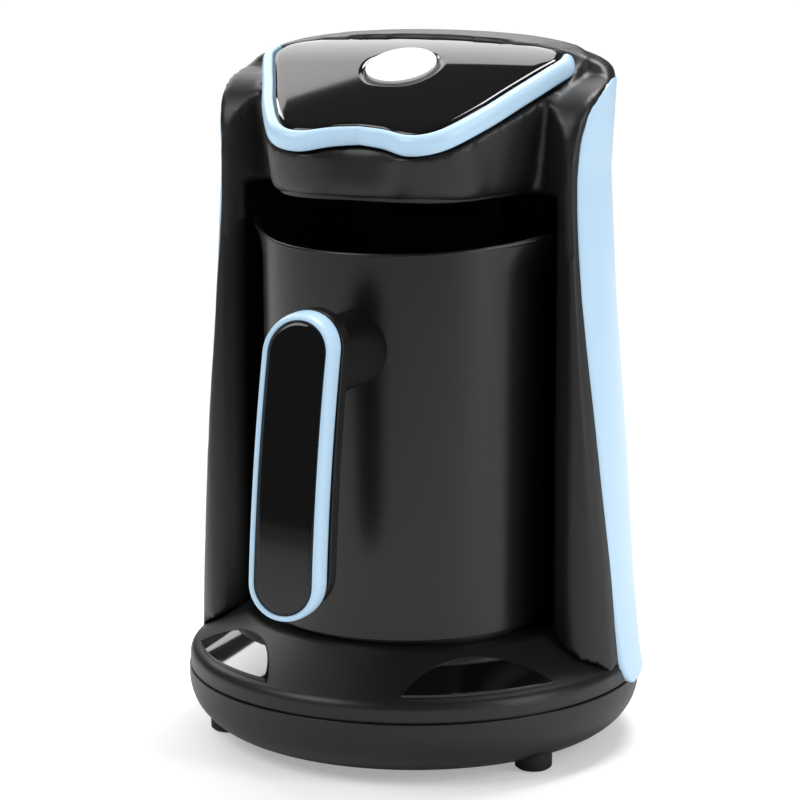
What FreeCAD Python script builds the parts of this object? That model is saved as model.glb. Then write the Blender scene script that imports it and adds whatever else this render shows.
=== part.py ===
import FreeCAD, Part
import math
import os
from FreeCAD import Placement, Rotation, Vector

# Electric Turkish coffee maker: a round base with a hot plate, a horseshoe
# tower behind it, a head with one button over it, and a lift out jug.
# Millimetres. +Z is up, the jug handle points along -Y, and +X is to the
# right of someone who stands in front of it.
os.makedirs("parts", exist_ok=True)

# Base
base_radius = 80.0
ground_clearance = 3.2
seam_height = 23.5
seam_groove = 0.6
base_wall = 2.2
pan_corner_width = 16.0
pan_lip_width = 1.2
foot_radius = 6.4
foot_circle_radius = 66.5
foot_angle = 60.0
base_screw_circle = 57.0
base_screw_angle = 140.0
gland_radius = 5.0
gland_flange = 1.6
gland_bore_radius = 3.2
gland_height = 14.0

# Deck, the sloping top of the base
deck_radius = 79.6
deck_band = 3.6
deck_shoulder = 3.6
deck_top_height = 43.5
deck_top_radius = 58.5
deck_edge_round = 2.0
window_centre_angle = 39.6
window_half_angle = 20.6
window_outer_radius = 76.4
window_inner_radius = 62.3
window_stand = 1.6
window_stand_top = 0.4
window_depth = 1.0

# Hot plate
jug_axis_y = -5.4
plate_radius = 46.8
plate_stand = 1.3
plate_flange_radius = 51.0
plate_flange = 2.4
seal_width = 1.2
element_ring_radius = 30.0
element_tube_radius = 3.3
element_arc = 290.0
element_pin_length = 9.0
bracket_inner_radius = 40.0
bracket_thickness = 1.6
bracket_post_circle = 53.4
bracket_post_radius = 3.6
thermostat_radius = 8.5
thermostat_height = 7.0
fuse_radius = 2.4
fuse_length = 16.0

# Boards in the base
board_length = 62.0
board_width = 34.0
board_thickness = 1.6
board_centre_y = 38.0
board_post_height = 7.0
board_post_radius = 2.6
board_parts_height = 9.0
terminal_length = 26.0
terminal_width = 12.0
terminal_height = 10.0

# Jug
jug_radius = 49.9
jug_rim_radius = 50.2
jug_wall = 1.6
jug_floor = 2.4
jug_bottom_gap = 0.5
jug_corner = 3.0
jug_rim_height = 176.3
spout_reach = 5.3
spout_rise = 3.6
spout_depth = 11.0
spout_half_angle = 42.0
jug_base_radius = 44.0
jug_base_thickness = 1.5

# Handle
handle_width = 27.6
handle_ring = 4.4
handle_top_height = 164.5
handle_bottom_height = 65.2
handle_top_y = -94.0
handle_middle_y = -105.0
handle_bottom_y = -110.4
handle_ring_depth = 7.6
handle_insert_thickness = 2.0
handle_insert_recess = 0.6
handle_back_depth = 5.0
handle_back_margin = 1.4
boss_radius = 12.4
boss_height = 145.0

# Tower
tower_wall = 2.4
tower_foot_radius = 79.2
tower_mid_radius = 74.4
tower_mid_height = 101.0
tower_upper_radius = 70.1
tower_upper_height = 154.0
tower_waist_radius = 67.6
tower_waist_height = 200.0
tower_shoulder_radius = 69.0
tower_shoulder_height = 228.0
tower_top_height = 245.0
column_corner_x = 68.7
column_corner_y = -16.6
column_inner_x = 49.0
column_inner_y = -5.0
column_top_round = 24.0
bay_radius = 57.6
rear_split_y = 46.0
cover_split_height = 229.5

# Side trims
trim_foot_stand = 2.2
trim_stand = 0.8
trim_depth = 1.1
trim_front_y = -17.4
trim_low_front_y = -6.4
trim_tip_y = 2.0
trim_bottom_height = 22.6
trim_top_height = 231.5
trim_top_y = 13.0

# Head
head_bottom_height = 193.5
head_wall = 2.2
head_rear_x = 51.0
head_rear_y = 14.0
head_opening = 3.0
panel_tilt = 23.0
panel_centre_y = -10.9
panel_centre_height = 233.7
panel_thickness = 2.2
panel_crown = 1.6
panel_lobe_x = 20.0
panel_lobe_reach = 44.6
panel_notch_reach = 40.4
panel_corner_x = 36.6
panel_corner_reach = 27.0
panel_shoulder_x = 50.6
panel_shoulder_back = 5.0
panel_rear_x = 55.2
panel_rear_back = 20.0
panel_end_back = 28.0
bezel_width = 4.4
bezel_drop = 6.8
bezel_end_back = 25.0

# Button and what lies below it
button_radius = 12.2
button_gap = 0.4
button_stand = 0.7
button_skirt = 5.2
button_flange = 1.4
button_flange_thickness = 1.0
button_stem_radius = 2.6
button_stem_length = 6.0
button_travel = 1.2
spring_wire = 0.7
spring_radius = 6.0
spring_turns = 4
switch_size = 6.0
switch_height = 3.4
plunger_radius = 1.7
plunger_height = 1.0
press_clearance = 0.1
control_length = 54.0
control_width = 30.0
sensor_radius = 5.0
sensor_height = 9.0
sensor_window_radius = 7.0
sensor_window_thickness = 1.2
sensor_y = -22.0
harness_radius = 2.0

# Screws
screw_radius = 1.5
screw_head_radius = 2.9
screw_head_height = 2.0
screw_post_radius = 3.6
screw_bite = 7.0
screw_cup = 2.8


# Shape helpers
def box(x0, x1, y0, y1, z0, z1):
    return Part.makeBox(x1 - x0, y1 - y0, z1 - z0, Vector(x0, y0, z0))


def rod(radius, z0, z1, x=0.0, y=0.0):
    return Part.makeCylinder(radius, z1 - z0, Vector(x, y, z0))


def rod_y(radius, y0, y1, x, z):
    return Part.makeCylinder(radius, y1 - y0, Vector(x, y0, z), Vector(0, 1, 0))


def tube(outer, inner, z0, z1, x=0.0, y=0.0):
    return rod(outer, z0, z1, x, y).cut(rod(inner, z0, z1, x, y))


def line(a, b):
    return Part.LineSegment(a, b).toShape()


def curve(points, closed=False):
    spline = Part.BSplineCurve()
    spline.interpolate(points, PeriodicFlag=closed)
    return spline.toShape()


def arc(a, b, c):
    return Part.Arc(a, b, c).toShape()


def face(edges):
    return Part.Face(Part.Wire(edges))


def turned(edges, axis_y=0.0):
    # edges lie in the XZ plane and close on the axis
    shape = face(edges).revolve(Vector(0, axis_y, 0), Vector(0, 0, 1), 360)
    return shape


def rz(radius, height):
    return Vector(radius, 0, height)


def polar(radius, angle, height=0.0):
    # angle in degrees from the front (-Y), positive to the right
    turn = math.radians(angle)
    return Vector(radius * math.sin(turn), -radius * math.cos(turn), height)


def mirrored(shape):
    return shape.mirror(Vector(0, 0, 0), Vector(1, 0, 0))


def fused(shapes):
    first = shapes[0]
    if len(shapes) == 1:
        return first
    return first.multiFuse(shapes[1:]).removeSplitter()


def screw_up(x, y, seat, length):
    # a screw that goes in from below: head under the seat
    head = rod(screw_head_radius, seat - screw_head_height, seat, x, y)
    shank = rod(screw_radius, seat, seat + length, x, y)
    slot = box(x - 0.4, x + 0.4, y - 2.0, y + 2.0, seat - screw_head_height, seat - screw_head_height + 0.8)
    return head.fuse(shank).cut(slot)


nodes = {}


# Base pan, feet and what closes the bottom
def pan_solid(inset):
    low = ground_clearance + inset
    radius = base_radius - inset
    corner_height = seam_height - 1.5
    corner_radius = base_radius - pan_corner_width
    wide = radius - corner_radius
    tall = corner_height - low
    half = math.sqrt(0.5)
    middle = rz(corner_radius + wide * half, corner_height - tall * half)
    top = seam_height
    edges = [line(rz(0, low), rz(corner_radius, low)), arc(rz(corner_radius, low), middle, rz(radius, corner_height))]
    edges += [line(rz(radius, corner_height), rz(radius, top))]
    edges += [line(rz(radius, top), rz(0, top)), line(rz(0, top), rz(0, low))]
    return turned(edges)


pan_outer = pan_solid(0.0)
pan = pan_outer.cut(pan_solid(base_wall))
lip_radius = base_radius - pan_lip_width
lip_inner = base_radius - base_wall
seam_top = seam_height + seam_groove
pan = pan.fuse(tube(lip_radius, lip_inner, seam_height, seam_top))

foot_places = []
for side in (-1, 1):
    for angle in (foot_angle, 180.0 - foot_angle):
        foot_places.append(polar(foot_circle_radius, side * angle))
feet = [rod(foot_radius, 0.0, seam_height, p.x, p.y).cut(pan_outer) for p in foot_places]
nodes["feet"] = Part.makeCompound([f.Solids[0] for f in feet])

# Deck
deck_height = deck_top_height - seam_top


def deck_solid(inset):
    radius = deck_radius - inset
    top = deck_top_height - inset
    band_top = seam_top + deck_band
    shoulder = rz(radius - deck_shoulder * 0.6, band_top + deck_shoulder)
    round_middle = rz(radius - deck_shoulder * 0.13, band_top + deck_shoulder * 0.55)
    slope_end = rz(deck_top_radius + deck_edge_round, top - deck_edge_round * 0.62)
    edge_middle = rz(deck_top_radius + deck_edge_round * 0.2, top - deck_edge_round * 0.16)
    top_start = rz(deck_top_radius - deck_edge_round, top)
    edges = [line(rz(0, seam_top), rz(radius, seam_top))]
    edges += [line(rz(radius, seam_top), rz(radius, band_top))]
    edges += [arc(rz(radius, band_top), round_middle, shoulder), line(shoulder, slope_end)]
    edges += [arc(slope_end, edge_middle, top_start), line(top_start, rz(0, top))]
    edges += [line(rz(0, top), rz(0, seam_top))]
    return turned(edges)


deck_outer = deck_solid(0.0)
deck_inner = deck_solid(base_wall)
deck = deck_outer.cut(deck_inner)
deck_under = deck_top_height - base_wall


# Glossy windows let into the slope of the deck
def window_solid(side):
    a0 = side * (window_centre_angle - window_half_angle)
    a1 = side * (window_centre_angle + window_half_angle)
    middle = side * window_centre_angle
    tip0 = polar(window_outer_radius, a0)
    tip1 = polar(window_outer_radius, a1)
    lens = face([arc(tip0, polar(window_outer_radius, middle), tip1),
                 arc(tip1, polar(window_inner_radius, middle), tip0)])
    prism = lens.extrude(Vector(0, 0, deck_top_height + window_depth))
    slope = (deck_top_height - seam_top - deck_band - deck_shoulder) / (deck_radius - deck_top_radius)
    low = seam_top + deck_band + deck_shoulder + window_stand
    high = low + (window_outer_radius - window_inner_radius) * slope + window_stand_top
    reach = window_inner_radius - window_depth
    edges = [line(rz(reach, low - base_wall), rz(deck_radius, low - base_wall))]
    edges += [line(rz(deck_radius, low - base_wall), rz(deck_radius, low - (deck_radius - window_outer_radius) * slope))]
    edges += [line(rz(deck_radius, low - (deck_radius - window_outer_radius) * slope), rz(reach, high))]
    edges += [line(rz(reach, high), rz(reach, low - base_wall))]
    body = prism.common(turned(edges))
    keep = deck_solid(window_depth)
    return body.cut(keep)


window_right = window_solid(1)
window_left = window_solid(-1)
deck = deck.cut(window_right).cut(window_left)
nodes["deck_window_left"] = window_left
nodes["deck_window_right"] = window_right

# Hot plate: a disc that stands through the deck, with its flange below it
plate_hole = plate_radius + seal_width
plate_top = deck_top_height + plate_stand
plate_low = deck_under - plate_flange
plate = rod(plate_radius, deck_under, plate_top, 0, jug_axis_y)
plate = plate.fuse(rod(plate_flange_radius, plate_low, deck_under, 0, jug_axis_y))
deck = deck.cut(rod(plate_hole, deck_under - 1, plate_top + 1, 0, jug_axis_y))
element_centre = Vector(0, jug_axis_y, plate_low)
element_ring = Part.makeTorus(element_ring_radius, element_tube_radius, element_centre, Vector(0, 0, 1), 0, 360)
gap_turn = (360.0 - element_arc) / 2
wedge_reach = element_ring_radius * 2
wedge_left = polar(wedge_reach, 180.0 - gap_turn)
wedge_right = polar(wedge_reach, 180.0 + gap_turn)
wedge_face = face([line(Vector(0, 0, 0), wedge_left), line(wedge_left, wedge_right), line(wedge_right, Vector(0, 0, 0))])
wedge = wedge_face.extrude(Vector(0, 0, 4 * element_tube_radius))
wedge.translate(Vector(0, jug_axis_y, plate_low - 2 * element_tube_radius))
element = element_ring.cut(wedge)
pins = []
for side in (-1, 1):
    end = polar(element_ring_radius, 180.0 - side * gap_turn)
    start = Vector(end.x, end.y + jug_axis_y, plate_low - element_pin_length)
    pins.append(Part.makeCylinder(element_tube_radius, element_pin_length, start))
element = fused([element] + pins)
plate = plate.cut(element)
nodes["heating_element"] = element
nodes["plate_seal"] = tube(plate_hole, plate_radius, deck_under, deck_top_height - 0.4, 0, jug_axis_y)

# Thermostat and thermal fuse under the plate
thermostat = rod(thermostat_radius, plate_low - thermostat_height, plate_low, 0, jug_axis_y)
tabs = box(-thermostat_radius + 2, -2.0, jug_axis_y - 3, jug_axis_y + 3,
           plate_low - thermostat_height - 5, plate_low - thermostat_height)
nodes["thermostat"] = fused([thermostat, tabs, mirrored(tabs)])
fuse_y = jug_axis_y - 17.0
fuse_axis = plate_low - fuse_radius
fuse_tube = Part.makeCylinder(fuse_radius, fuse_length, Vector(-fuse_length / 2, fuse_y, fuse_axis), Vector(1, 0, 0))
fuse_clip = box(-3.0, 3.0, fuse_y - fuse_radius - 1.6, fuse_y + fuse_radius + 1.6, plate_low - fuse_radius, plate_low)
nodes["thermal_fuse"] = fused([fuse_tube, fuse_clip])
nodes["heating_plate"] = plate

# Bracket that holds the plate up against the deck, on three posts
bracket_top = plate_low
bracket_low = bracket_top - bracket_thickness
bracket = tube(plate_flange_radius, bracket_inner_radius, bracket_low, bracket_top, 0, jug_axis_y)
heater_screws = []
for turn in (90.0, 210.0, 330.0):
    p = polar(bracket_post_circle, turn)
    ear = rod(bracket_post_radius, bracket_low, bracket_top, p.x, p.y + jug_axis_y)
    q = polar(plate_flange_radius - 6.0, turn)
    middle = (p + q) * 0.5
    bracket = bracket.fuse(ear)
    bracket = bracket.fuse(rod(bracket_post_radius, bracket_low, bracket_top, middle.x, middle.y + jug_axis_y))
    bracket = bracket.cut(rod(screw_radius + 0.1, bracket_low - 1, bracket_top + 1, p.x, p.y + jug_axis_y))
    post = rod(bracket_post_radius, bracket_top, deck_under, p.x, p.y + jug_axis_y)
    post = post.cut(rod(plate_flange_radius, plate_low - 1, deck_under, 0, jug_axis_y))
    deck = deck.fuse(post)
    length = deck_under - bracket_low - 0.4
    deck = deck.cut(rod(screw_radius, bracket_top, bracket_low + length, p.x, p.y + jug_axis_y))
    heater_screws.append(screw_up(p.x, p.y + jug_axis_y, bracket_low, length))
bracket = bracket.removeSplitter()
nodes["heater_bracket"] = bracket
nodes["heater_screws"] = Part.makeCompound(heater_screws)

# Posts of the deck that the base screws pull the pan up to
screw_places = [polar(base_screw_circle, a) for a in (0.0, base_screw_angle, -base_screw_angle)]
pan_floor = ground_clearance + base_wall
screw_seat = ground_clearance + screw_head_height + 0.3
base_screws = []
for p in screw_places:
    cup = rod(screw_post_radius + 1.2, pan_floor, screw_seat + 2.2, p.x, p.y)
    pan = pan.fuse(cup)
    pan = pan.cut(rod(screw_head_radius + 0.3, 0, screw_seat, p.x, p.y))
    pan = pan.cut(rod(screw_radius + 0.2, 0, seam_height, p.x, p.y))
    post = rod(screw_post_radius, screw_seat + 2.2, deck_top_height, p.x, p.y).common(deck_outer.fuse(
        rod(screw_post_radius, 0, seam_top, p.x, p.y)))
    post = post.cut(rod(plate_flange_radius + 0.5, bracket_low - 0.5, deck_top_height, 0, jug_axis_y))
    deck = deck.fuse(post)
    deck = deck.cut(rod(screw_radius, 0, screw_seat + 2.2 + screw_bite, p.x, p.y))
    base_screws.append(screw_up(p.x, p.y, screw_seat, 2.2 + screw_bite))
nodes["base_screws"] = Part.makeCompound(base_screws)

# Power board on posts, with its terminal block
board_low = pan_floor + board_post_height
board = box(-board_length / 2, board_length / 2, board_centre_y - board_width / 2,
            board_centre_y + board_width / 2, board_low, board_low + board_thickness)
board_top = board_low + board_thickness
relay = box(-board_length / 2 + 4, -board_length / 2 + 22, board_centre_y - 10, board_centre_y + 4,
            board_top, board_top + board_parts_height)
coil_block = box(board_length / 2 - 18, board_length / 2 - 4, board_centre_y - 12, board_centre_y - 2,
                 board_top, board_top + board_parts_height * 0.7)
board = fused([board, relay, coil_block])
for sx in (-1, 1):
    for sy in (-1, 1):
        px = sx * (board_length / 2 - 4)
        py = board_centre_y + sy * (board_width / 2 - 4)
        pan = pan.fuse(rod(board_post_radius, pan_floor, board_low, px, py))
nodes["power_board"] = board
terminal_y = board_centre_y + board_width / 2 - terminal_width / 2
nodes["terminal_block"] = box(-terminal_length / 2, terminal_length / 2, terminal_y - terminal_width / 2,
                              terminal_y + terminal_width / 2, board_top, board_top + terminal_height)

# Bush of the cord's inlet in the rear wall
gland_y0 = base_radius - base_wall - 4.0
gland_y1 = base_radius + gland_flange
gland = rod_y(gland_radius, gland_y0, gland_y1, 0, gland_height)
gland_face = rod_y(gland_radius + gland_flange, base_radius - 3.0, gland_y1, 0, gland_height).cut(pan_outer)
gland_back = rod_y(gland_radius + gland_flange, gland_y0, base_radius - base_wall, 0, gland_height)
gland_back = gland_back.common(pan_solid(base_wall))
gland = fused([gland, gland_face, gland_back])
gland = gland.cut(rod_y(gland_bore_radius, gland_y0 - 1, gland_y1 + 1, 0, gland_height))
pan = pan.cut(rod_y(gland_radius, gland_y0, gland_y1, 0, gland_height))
nodes["cord_gland"] = gland


# Tower: one round profile turned about the base's axis, then cut to a horseshoe
def tower_solid(offset, foot_offset=None):
    if foot_offset is None:
        foot_offset = offset
    wall = [rz(tower_foot_radius + foot_offset, seam_top + deck_band), rz(tower_mid_radius + offset, tower_mid_height),
            rz(tower_upper_radius + offset, tower_upper_height), rz(tower_waist_radius + offset, tower_waist_height),
            rz(tower_shoulder_radius + offset, tower_shoulder_height)]
    top = tower_top_height + offset
    shoulder = wall[-1]
    crown = [shoulder, rz(tower_shoulder_radius * 0.955 + offset, tower_shoulder_height + 7.6 + offset),
             rz(tower_shoulder_radius * 0.87 + offset, tower_shoulder_height + 10.8 + offset),
             rz(tower_shoulder_radius * 0.72 + offset, tower_shoulder_height + 13.6 + offset),
             rz(tower_shoulder_radius * 0.3, top - 0.5), rz(0, top)]
    low = wall[0].z
    edges = [curve(wall), curve(crown), line(rz(0, top), rz(0, low)), line(rz(0, low), wall[0])]
    return turned(edges)


# Plan of the columns' front faces, as a block to keep behind them
def behind_front(shift):
    slope = (column_corner_y - column_inner_y) / (column_corner_x - column_inner_x)
    wide = base_radius + 20.0
    corner = Vector(column_corner_x, column_corner_y + shift, 0)
    roll = Vector(column_corner_x - 8.0, column_corner_y + 8.0 * -slope * 0.62 + shift, 0)
    inner = Vector(column_inner_x, column_inner_y + shift, 0)
    centre = Vector(0, column_inner_y - slope * column_inner_x * 0.25 + shift, 0)
    outer = Vector(wide, column_corner_y + shift + 3.0, 0)
    back = wide
    right = [line(centre, inner), curve([inner, roll, corner]), line(corner, outer), line(outer, Vector(wide, back, 0))]
    left = [line(Vector(-wide, back, 0), Vector(-outer.x, outer.y, 0)),
            line(Vector(-outer.x, outer.y, 0), Vector(-corner.x, corner.y, 0)),
            curve([Vector(-corner.x, corner.y, 0), Vector(-roll.x, roll.y, 0), Vector(-inner.x, inner.y, 0)]),
            line(Vector(-inner.x, inner.y, 0), centre)]
    rear = [line(Vector(wide, back, 0), Vector(-wide, back, 0))]
    return face(right + rear + left).extrude(Vector(0, 0, tower_top_height + 20.0))


# Side view of the columns: their top front corner is a large round
def below_round(shift):
    top = tower_top_height + 20.0
    radius = column_top_round
    front = column_corner_y - 12.0 + shift
    start = Vector(0, column_corner_y + shift, tower_shoulder_height - radius + 1.0)
    end = Vector(0, column_corner_y + radius * 1.25 + shift, tower_shoulder_height + 4.0)
    middle = Vector(0, start.y + radius * 0.27, start.z + radius * 0.74)
    edges = [line(Vector(0, front, 0), Vector(0, front, start.z)), line(Vector(0, front, start.z), start)]
    edges += [arc(start, middle, end), line(end, Vector(0, end.y, top))]
    rear = base_radius + 20.0
    edges += [line(Vector(0, end.y, top), Vector(0, rear, top)), line(Vector(0, rear, top), Vector(0, rear, 0))]
    edges += [line(Vector(0, rear, 0), Vector(0, front, 0))]
    block = face(edges)
    block.translate(Vector(-base_radius - 20.0, 0, 0))
    return block.extrude(Vector(2 * base_radius + 40.0, 0, 0))


def tower_radius_at(height):
    # outer radius of the tower's wall at a height between its foot and its waist
    heights = [seam_top + deck_band, tower_mid_height, tower_upper_height, tower_waist_height, tower_shoulder_height]
    radii = [tower_foot_radius, tower_mid_radius, tower_upper_radius, tower_waist_radius, tower_shoulder_radius]
    points = curve([rz(r, z) for r, z in zip(radii, heights)]).discretize(200)
    nearest = min(points, key=lambda p: abs(p.z - height))
    return nearest.x


tower_outer = tower_solid(0.0).common(behind_front(0.0)).common(below_round(0.0)).cut(deck_outer)
tower_inner = tower_solid(-tower_wall).common(behind_front(tower_wall)).common(below_round(tower_wall))

# Bay for the jug
bay_low = deck_top_height - deck_height
bay = rod(bay_radius, bay_low, head_bottom_height, 0, jug_axis_y)
bay = bay.fuse(box(-bay_radius, bay_radius, -base_radius - 20, jug_axis_y, bay_low, head_bottom_height))
liner_outer = rod(bay_radius + tower_wall, bay_low, head_bottom_height + tower_wall, 0, jug_axis_y)
liner_outer = liner_outer.fuse(box(-bay_radius - tower_wall, bay_radius + tower_wall, -base_radius - 20, jug_axis_y,
                                   bay_low, head_bottom_height + tower_wall))

# Head block: walls that taper from the bezel's outer edge to the underside
tilt = Placement(Vector(0, panel_centre_y, panel_centre_height), Rotation(Vector(1, 0, 0), panel_tilt))
tilt_matrix = tilt.toMatrix()


def tilted(shape):
    # from the panel's own frame (x, up the slope, out of the panel) to the part's
    return shape.transformed(tilt_matrix, True)


def panel_points(grow, back):
    # half outline of the panel, from the notch in the middle round to the rear
    points = [(0.0, -panel_notch_reach - grow), (panel_lobe_x * 0.45, -panel_notch_reach - 1.3 - grow)]
    points += [(panel_lobe_x, -panel_lobe_reach - grow)]
    points += [(panel_lobe_x + 8.6 + grow * 0.55, -panel_lobe_reach + 4.0 - grow * 0.8)]
    points += [(panel_corner_x + grow * 0.9, -panel_corner_reach - grow * 0.42)]
    points += [(panel_shoulder_x + grow * 0.95, panel_shoulder_back - grow * 0.3)]
    points += [(panel_rear_x + grow, panel_rear_back)]
    points += [(panel_rear_x + 1.2 + grow, back)]
    return points


def panel_face(grow, back, height=0.0):
    half = panel_points(grow, back)
    right = [Vector(x, y, height) for x, y in half]
    left = [Vector(-x, y, height) for x, y in reversed(half)]
    front = curve(left[:-1] + right)
    return face([front, line(right[-1], left[0])])


def head_bottom_face(grow, height, longer):
    half = [(0.0, -50.0), (20.0, -49.4), (33.0, -42.6), (40.0, -28.0), (46.0, -12.0), (49.0, -3.0), (50.5, 5.0)]
    half += [(head_rear_x, head_rear_y + longer)]
    right = [Vector(x + (grow if x > 30 else 0), y - (grow if x < 40 else 0), height) for x, y in half]
    left = [Vector(-p.x, p.y, height) for p in reversed(right)]
    return face([curve(left[:-1] + right), line(right[-1], left[0])])


def head_block(grow, low, drop, longer):
    # the inner block runs out behind the outer one, so that the head opens into the tower
    top = tilted(panel_face(bezel_width + grow, panel_end_back + longer, -drop)).OuterWire
    bottom = head_bottom_face(grow, low, longer).OuterWire
    return Part.makeLoft([bottom, top], True, True)


head_outer = head_block(0.0, head_bottom_height, bezel_drop, 0.0)
head_inner = head_block(-head_wall, head_bottom_height - 1.0, bezel_drop - 1.0, head_opening)


# Main moulding of the tower: bay liner, column fronts and side walls
frame_solid = tower_outer.cut(bay).cut(tower_inner.cut(liner_outer))
low_part = box(-100, 100, -100, rear_split_y, 0, cover_split_height)
liner_part = rod(bay_radius + tower_wall, 0, head_bottom_height + tower_wall, 0, jug_axis_y)
frame = frame_solid.common(low_part.fuse(liner_part)).cut(head_outer)


# Blue trims on the flanks
def trim_outline():
    top = trim_top_height
    front = [Vector(0, trim_top_y, top), Vector(0, trim_top_y - 9.4, top - 1.6), Vector(0, trim_top_y - 18.4, top - 5.2),
             Vector(0, trim_front_y + 4.6, top - 10.0), Vector(0, trim_front_y + 0.8, top - 18.0),
             Vector(0, trim_front_y, tower_waist_height), Vector(0, trim_front_y, tower_upper_height + 6.0),
             Vector(0, trim_front_y + 3.6, tower_mid_height + 7.0), Vector(0, trim_front_y + 8.0, 55.0),
             Vector(0, trim_low_front_y, trim_bottom_height + 10.0), Vector(0, trim_tip_y - 4.0, trim_bottom_height + 2.6),
             Vector(0, trim_tip_y + 2.0, trim_bottom_height)]
    edges = [curve(front), line(front[-1], Vector(0, rear_split_y, trim_bottom_height))]
    edges += [line(Vector(0, rear_split_y, trim_bottom_height), Vector(0, rear_split_y, top))]
    edges += [line(Vector(0, rear_split_y, top), front[0])]
    return face(edges).extrude(Vector(base_radius + 20.0, 0, 0))


def trim_band():
    # closed profile between the trim's outer and inner faces, turned about the axis
    heights = [seam_top + deck_band, tower_mid_height, tower_upper_height, tower_waist_height, tower_shoulder_height]
    radii = [tower_foot_radius, tower_mid_radius, tower_upper_radius, tower_waist_radius, tower_shoulder_radius]
    stands = [trim_foot_stand, trim_stand, trim_stand, trim_stand, trim_stand]
    outer = [rz(r + s, z) for r, s, z in zip(radii, stands, heights)]
    inner = [rz(r - trim_depth, z) for r, z in zip(radii, heights)]
    over = trim_top_height + 2.0
    outer_low = rz(outer[0].x, trim_bottom_height - 2.0)
    inner_low = rz(inner[0].x, trim_bottom_height - 2.0)
    outer_top = rz(outer[-1].x - 0.2, over)
    inner_top = rz(inner[-1].x - 0.2, over)
    edges = [line(outer_low, outer[0]), curve(outer), line(outer[-1], outer_top), line(outer_top, inner_top)]
    edges += [line(inner_top, inner[-1]), curve(inner), line(inner[0], inner_low), line(inner_low, outer_low)]
    return turned(edges)


trim_right = trim_band().common(trim_outline()).cut(pan_outer)
trim_right = trim_right.cut(rod(deck_radius, 0, seam_top + deck_band)).cut(deck_outer)
trim_left = mirrored(trim_right)
frame = frame.cut(trim_right).cut(trim_left)
nodes["side_trim_right"] = trim_right
nodes["side_trim_left"] = trim_left

# Rear cover and top cover
upper_part = box(-100, 100, -100, 100, cover_split_height, tower_top_height + 20)
shell = tower_outer.cut(tower_inner)
bezel_block = tilted(panel_face(bezel_width, panel_end_back, -bezel_drop).extrude(Vector(0, 0, 60.0)))
top_cover = shell.common(upper_part).cut(head_outer).cut(bezel_block).cut(trim_right).cut(trim_left)
rear_part = box(-100, 100, rear_split_y, 100, 0, cover_split_height)
rear_cover = shell.common(rear_part).cut(liner_part)

# Head: housing, underside, bezel and panel
head_housing = head_outer.cut(head_inner)
stem_end = -button_skirt - 0.8
plunger_top = stem_end - button_travel - press_clearance
board_level = plunger_top - plunger_height - switch_height
shelf_top = board_level - board_thickness - 2.0
shelf_block = box(-60, 60, -panel_lobe_reach - 5, 10.0, shelf_top - 1.8, shelf_top)
shelf = tilted(shelf_block).common(head_inner)
head_housing = head_housing.fuse(shelf)
control_front = -control_width / 2
control_rear = control_width / 2 + 3.0
control = box(-control_length / 2, control_length / 2, control_front, control_rear, board_level - board_thickness,
              board_level)
for sx in (-1, 1):
    for py in (control_front + 4, 6.0):
        post = rod(2.0, shelf_top, board_level - board_thickness, sx * (control_length / 2 - 4), py)
        head_housing = head_housing.fuse(tilted(post))
control_chip = box(-20.0, -12.0, -5.0, 3.0, board_level, board_level + 1.6)
control = fused([control, control_chip])
switch = box(-switch_size / 2, switch_size / 2, -switch_size / 2, switch_size / 2, board_level, board_level + switch_height)
switch = fused([switch, rod(plunger_radius, board_level + switch_height, plunger_top)])
nodes["tact_switch"] = tilted(switch)

underside = head_inner.common(box(-100, 100, -100, 100, head_bottom_height, head_bottom_height + head_wall))
underside = underside.common(head_outer)
underside = underside.cut(rod(sensor_window_radius, head_bottom_height, head_bottom_height + sensor_window_thickness, 0, sensor_y))
underside = underside.cut(rod(sensor_radius, head_bottom_height, head_bottom_height + head_wall, 0, sensor_y))
nodes["head_underside"] = underside
nodes["sensor_window"] = rod(sensor_window_radius, head_bottom_height, head_bottom_height + sensor_window_thickness, 0, sensor_y)
nodes["boil_sensor"] = rod(sensor_radius, head_bottom_height + sensor_window_thickness,
                           head_bottom_height + sensor_window_thickness + sensor_height, 0, sensor_y)

bezel_low = panel_face(bezel_width, panel_end_back, -bezel_drop).OuterWire
bezel_high = panel_face(0.0, panel_end_back, 0.0).OuterWire
bezel = Part.makeLoft([bezel_low, bezel_high], True, True)
panel_seat = panel_face(-0.05, panel_end_back, -panel_thickness).extrude(Vector(0, 0, panel_thickness + 10))
panel_open = panel_face(-2.4, panel_end_back, -bezel_drop - 1).extrude(Vector(0, 0, bezel_drop + 10))
behind_bezel = box(-100, 100, bezel_end_back, 100, -50, 50)
bezel = bezel.cut(panel_seat).cut(panel_open).cut(behind_bezel)

crown_radius = (panel_rear_x ** 2) / (2 * panel_crown + 0.4)
crown = Part.makeCylinder(crown_radius, 120.0, Vector(0, -60.0, panel_crown - crown_radius), Vector(0, 1, 0))
panel = panel_face(-0.05, panel_end_back, -panel_thickness).extrude(Vector(0, 0, panel_thickness + 6)).common(crown)
panel = panel.cut(rod(button_radius + button_gap, -panel_thickness - 1, panel_crown + 5))
nodes["head_panel"] = tilted(panel)
nodes["head_bezel"] = tilted(bezel)

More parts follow.
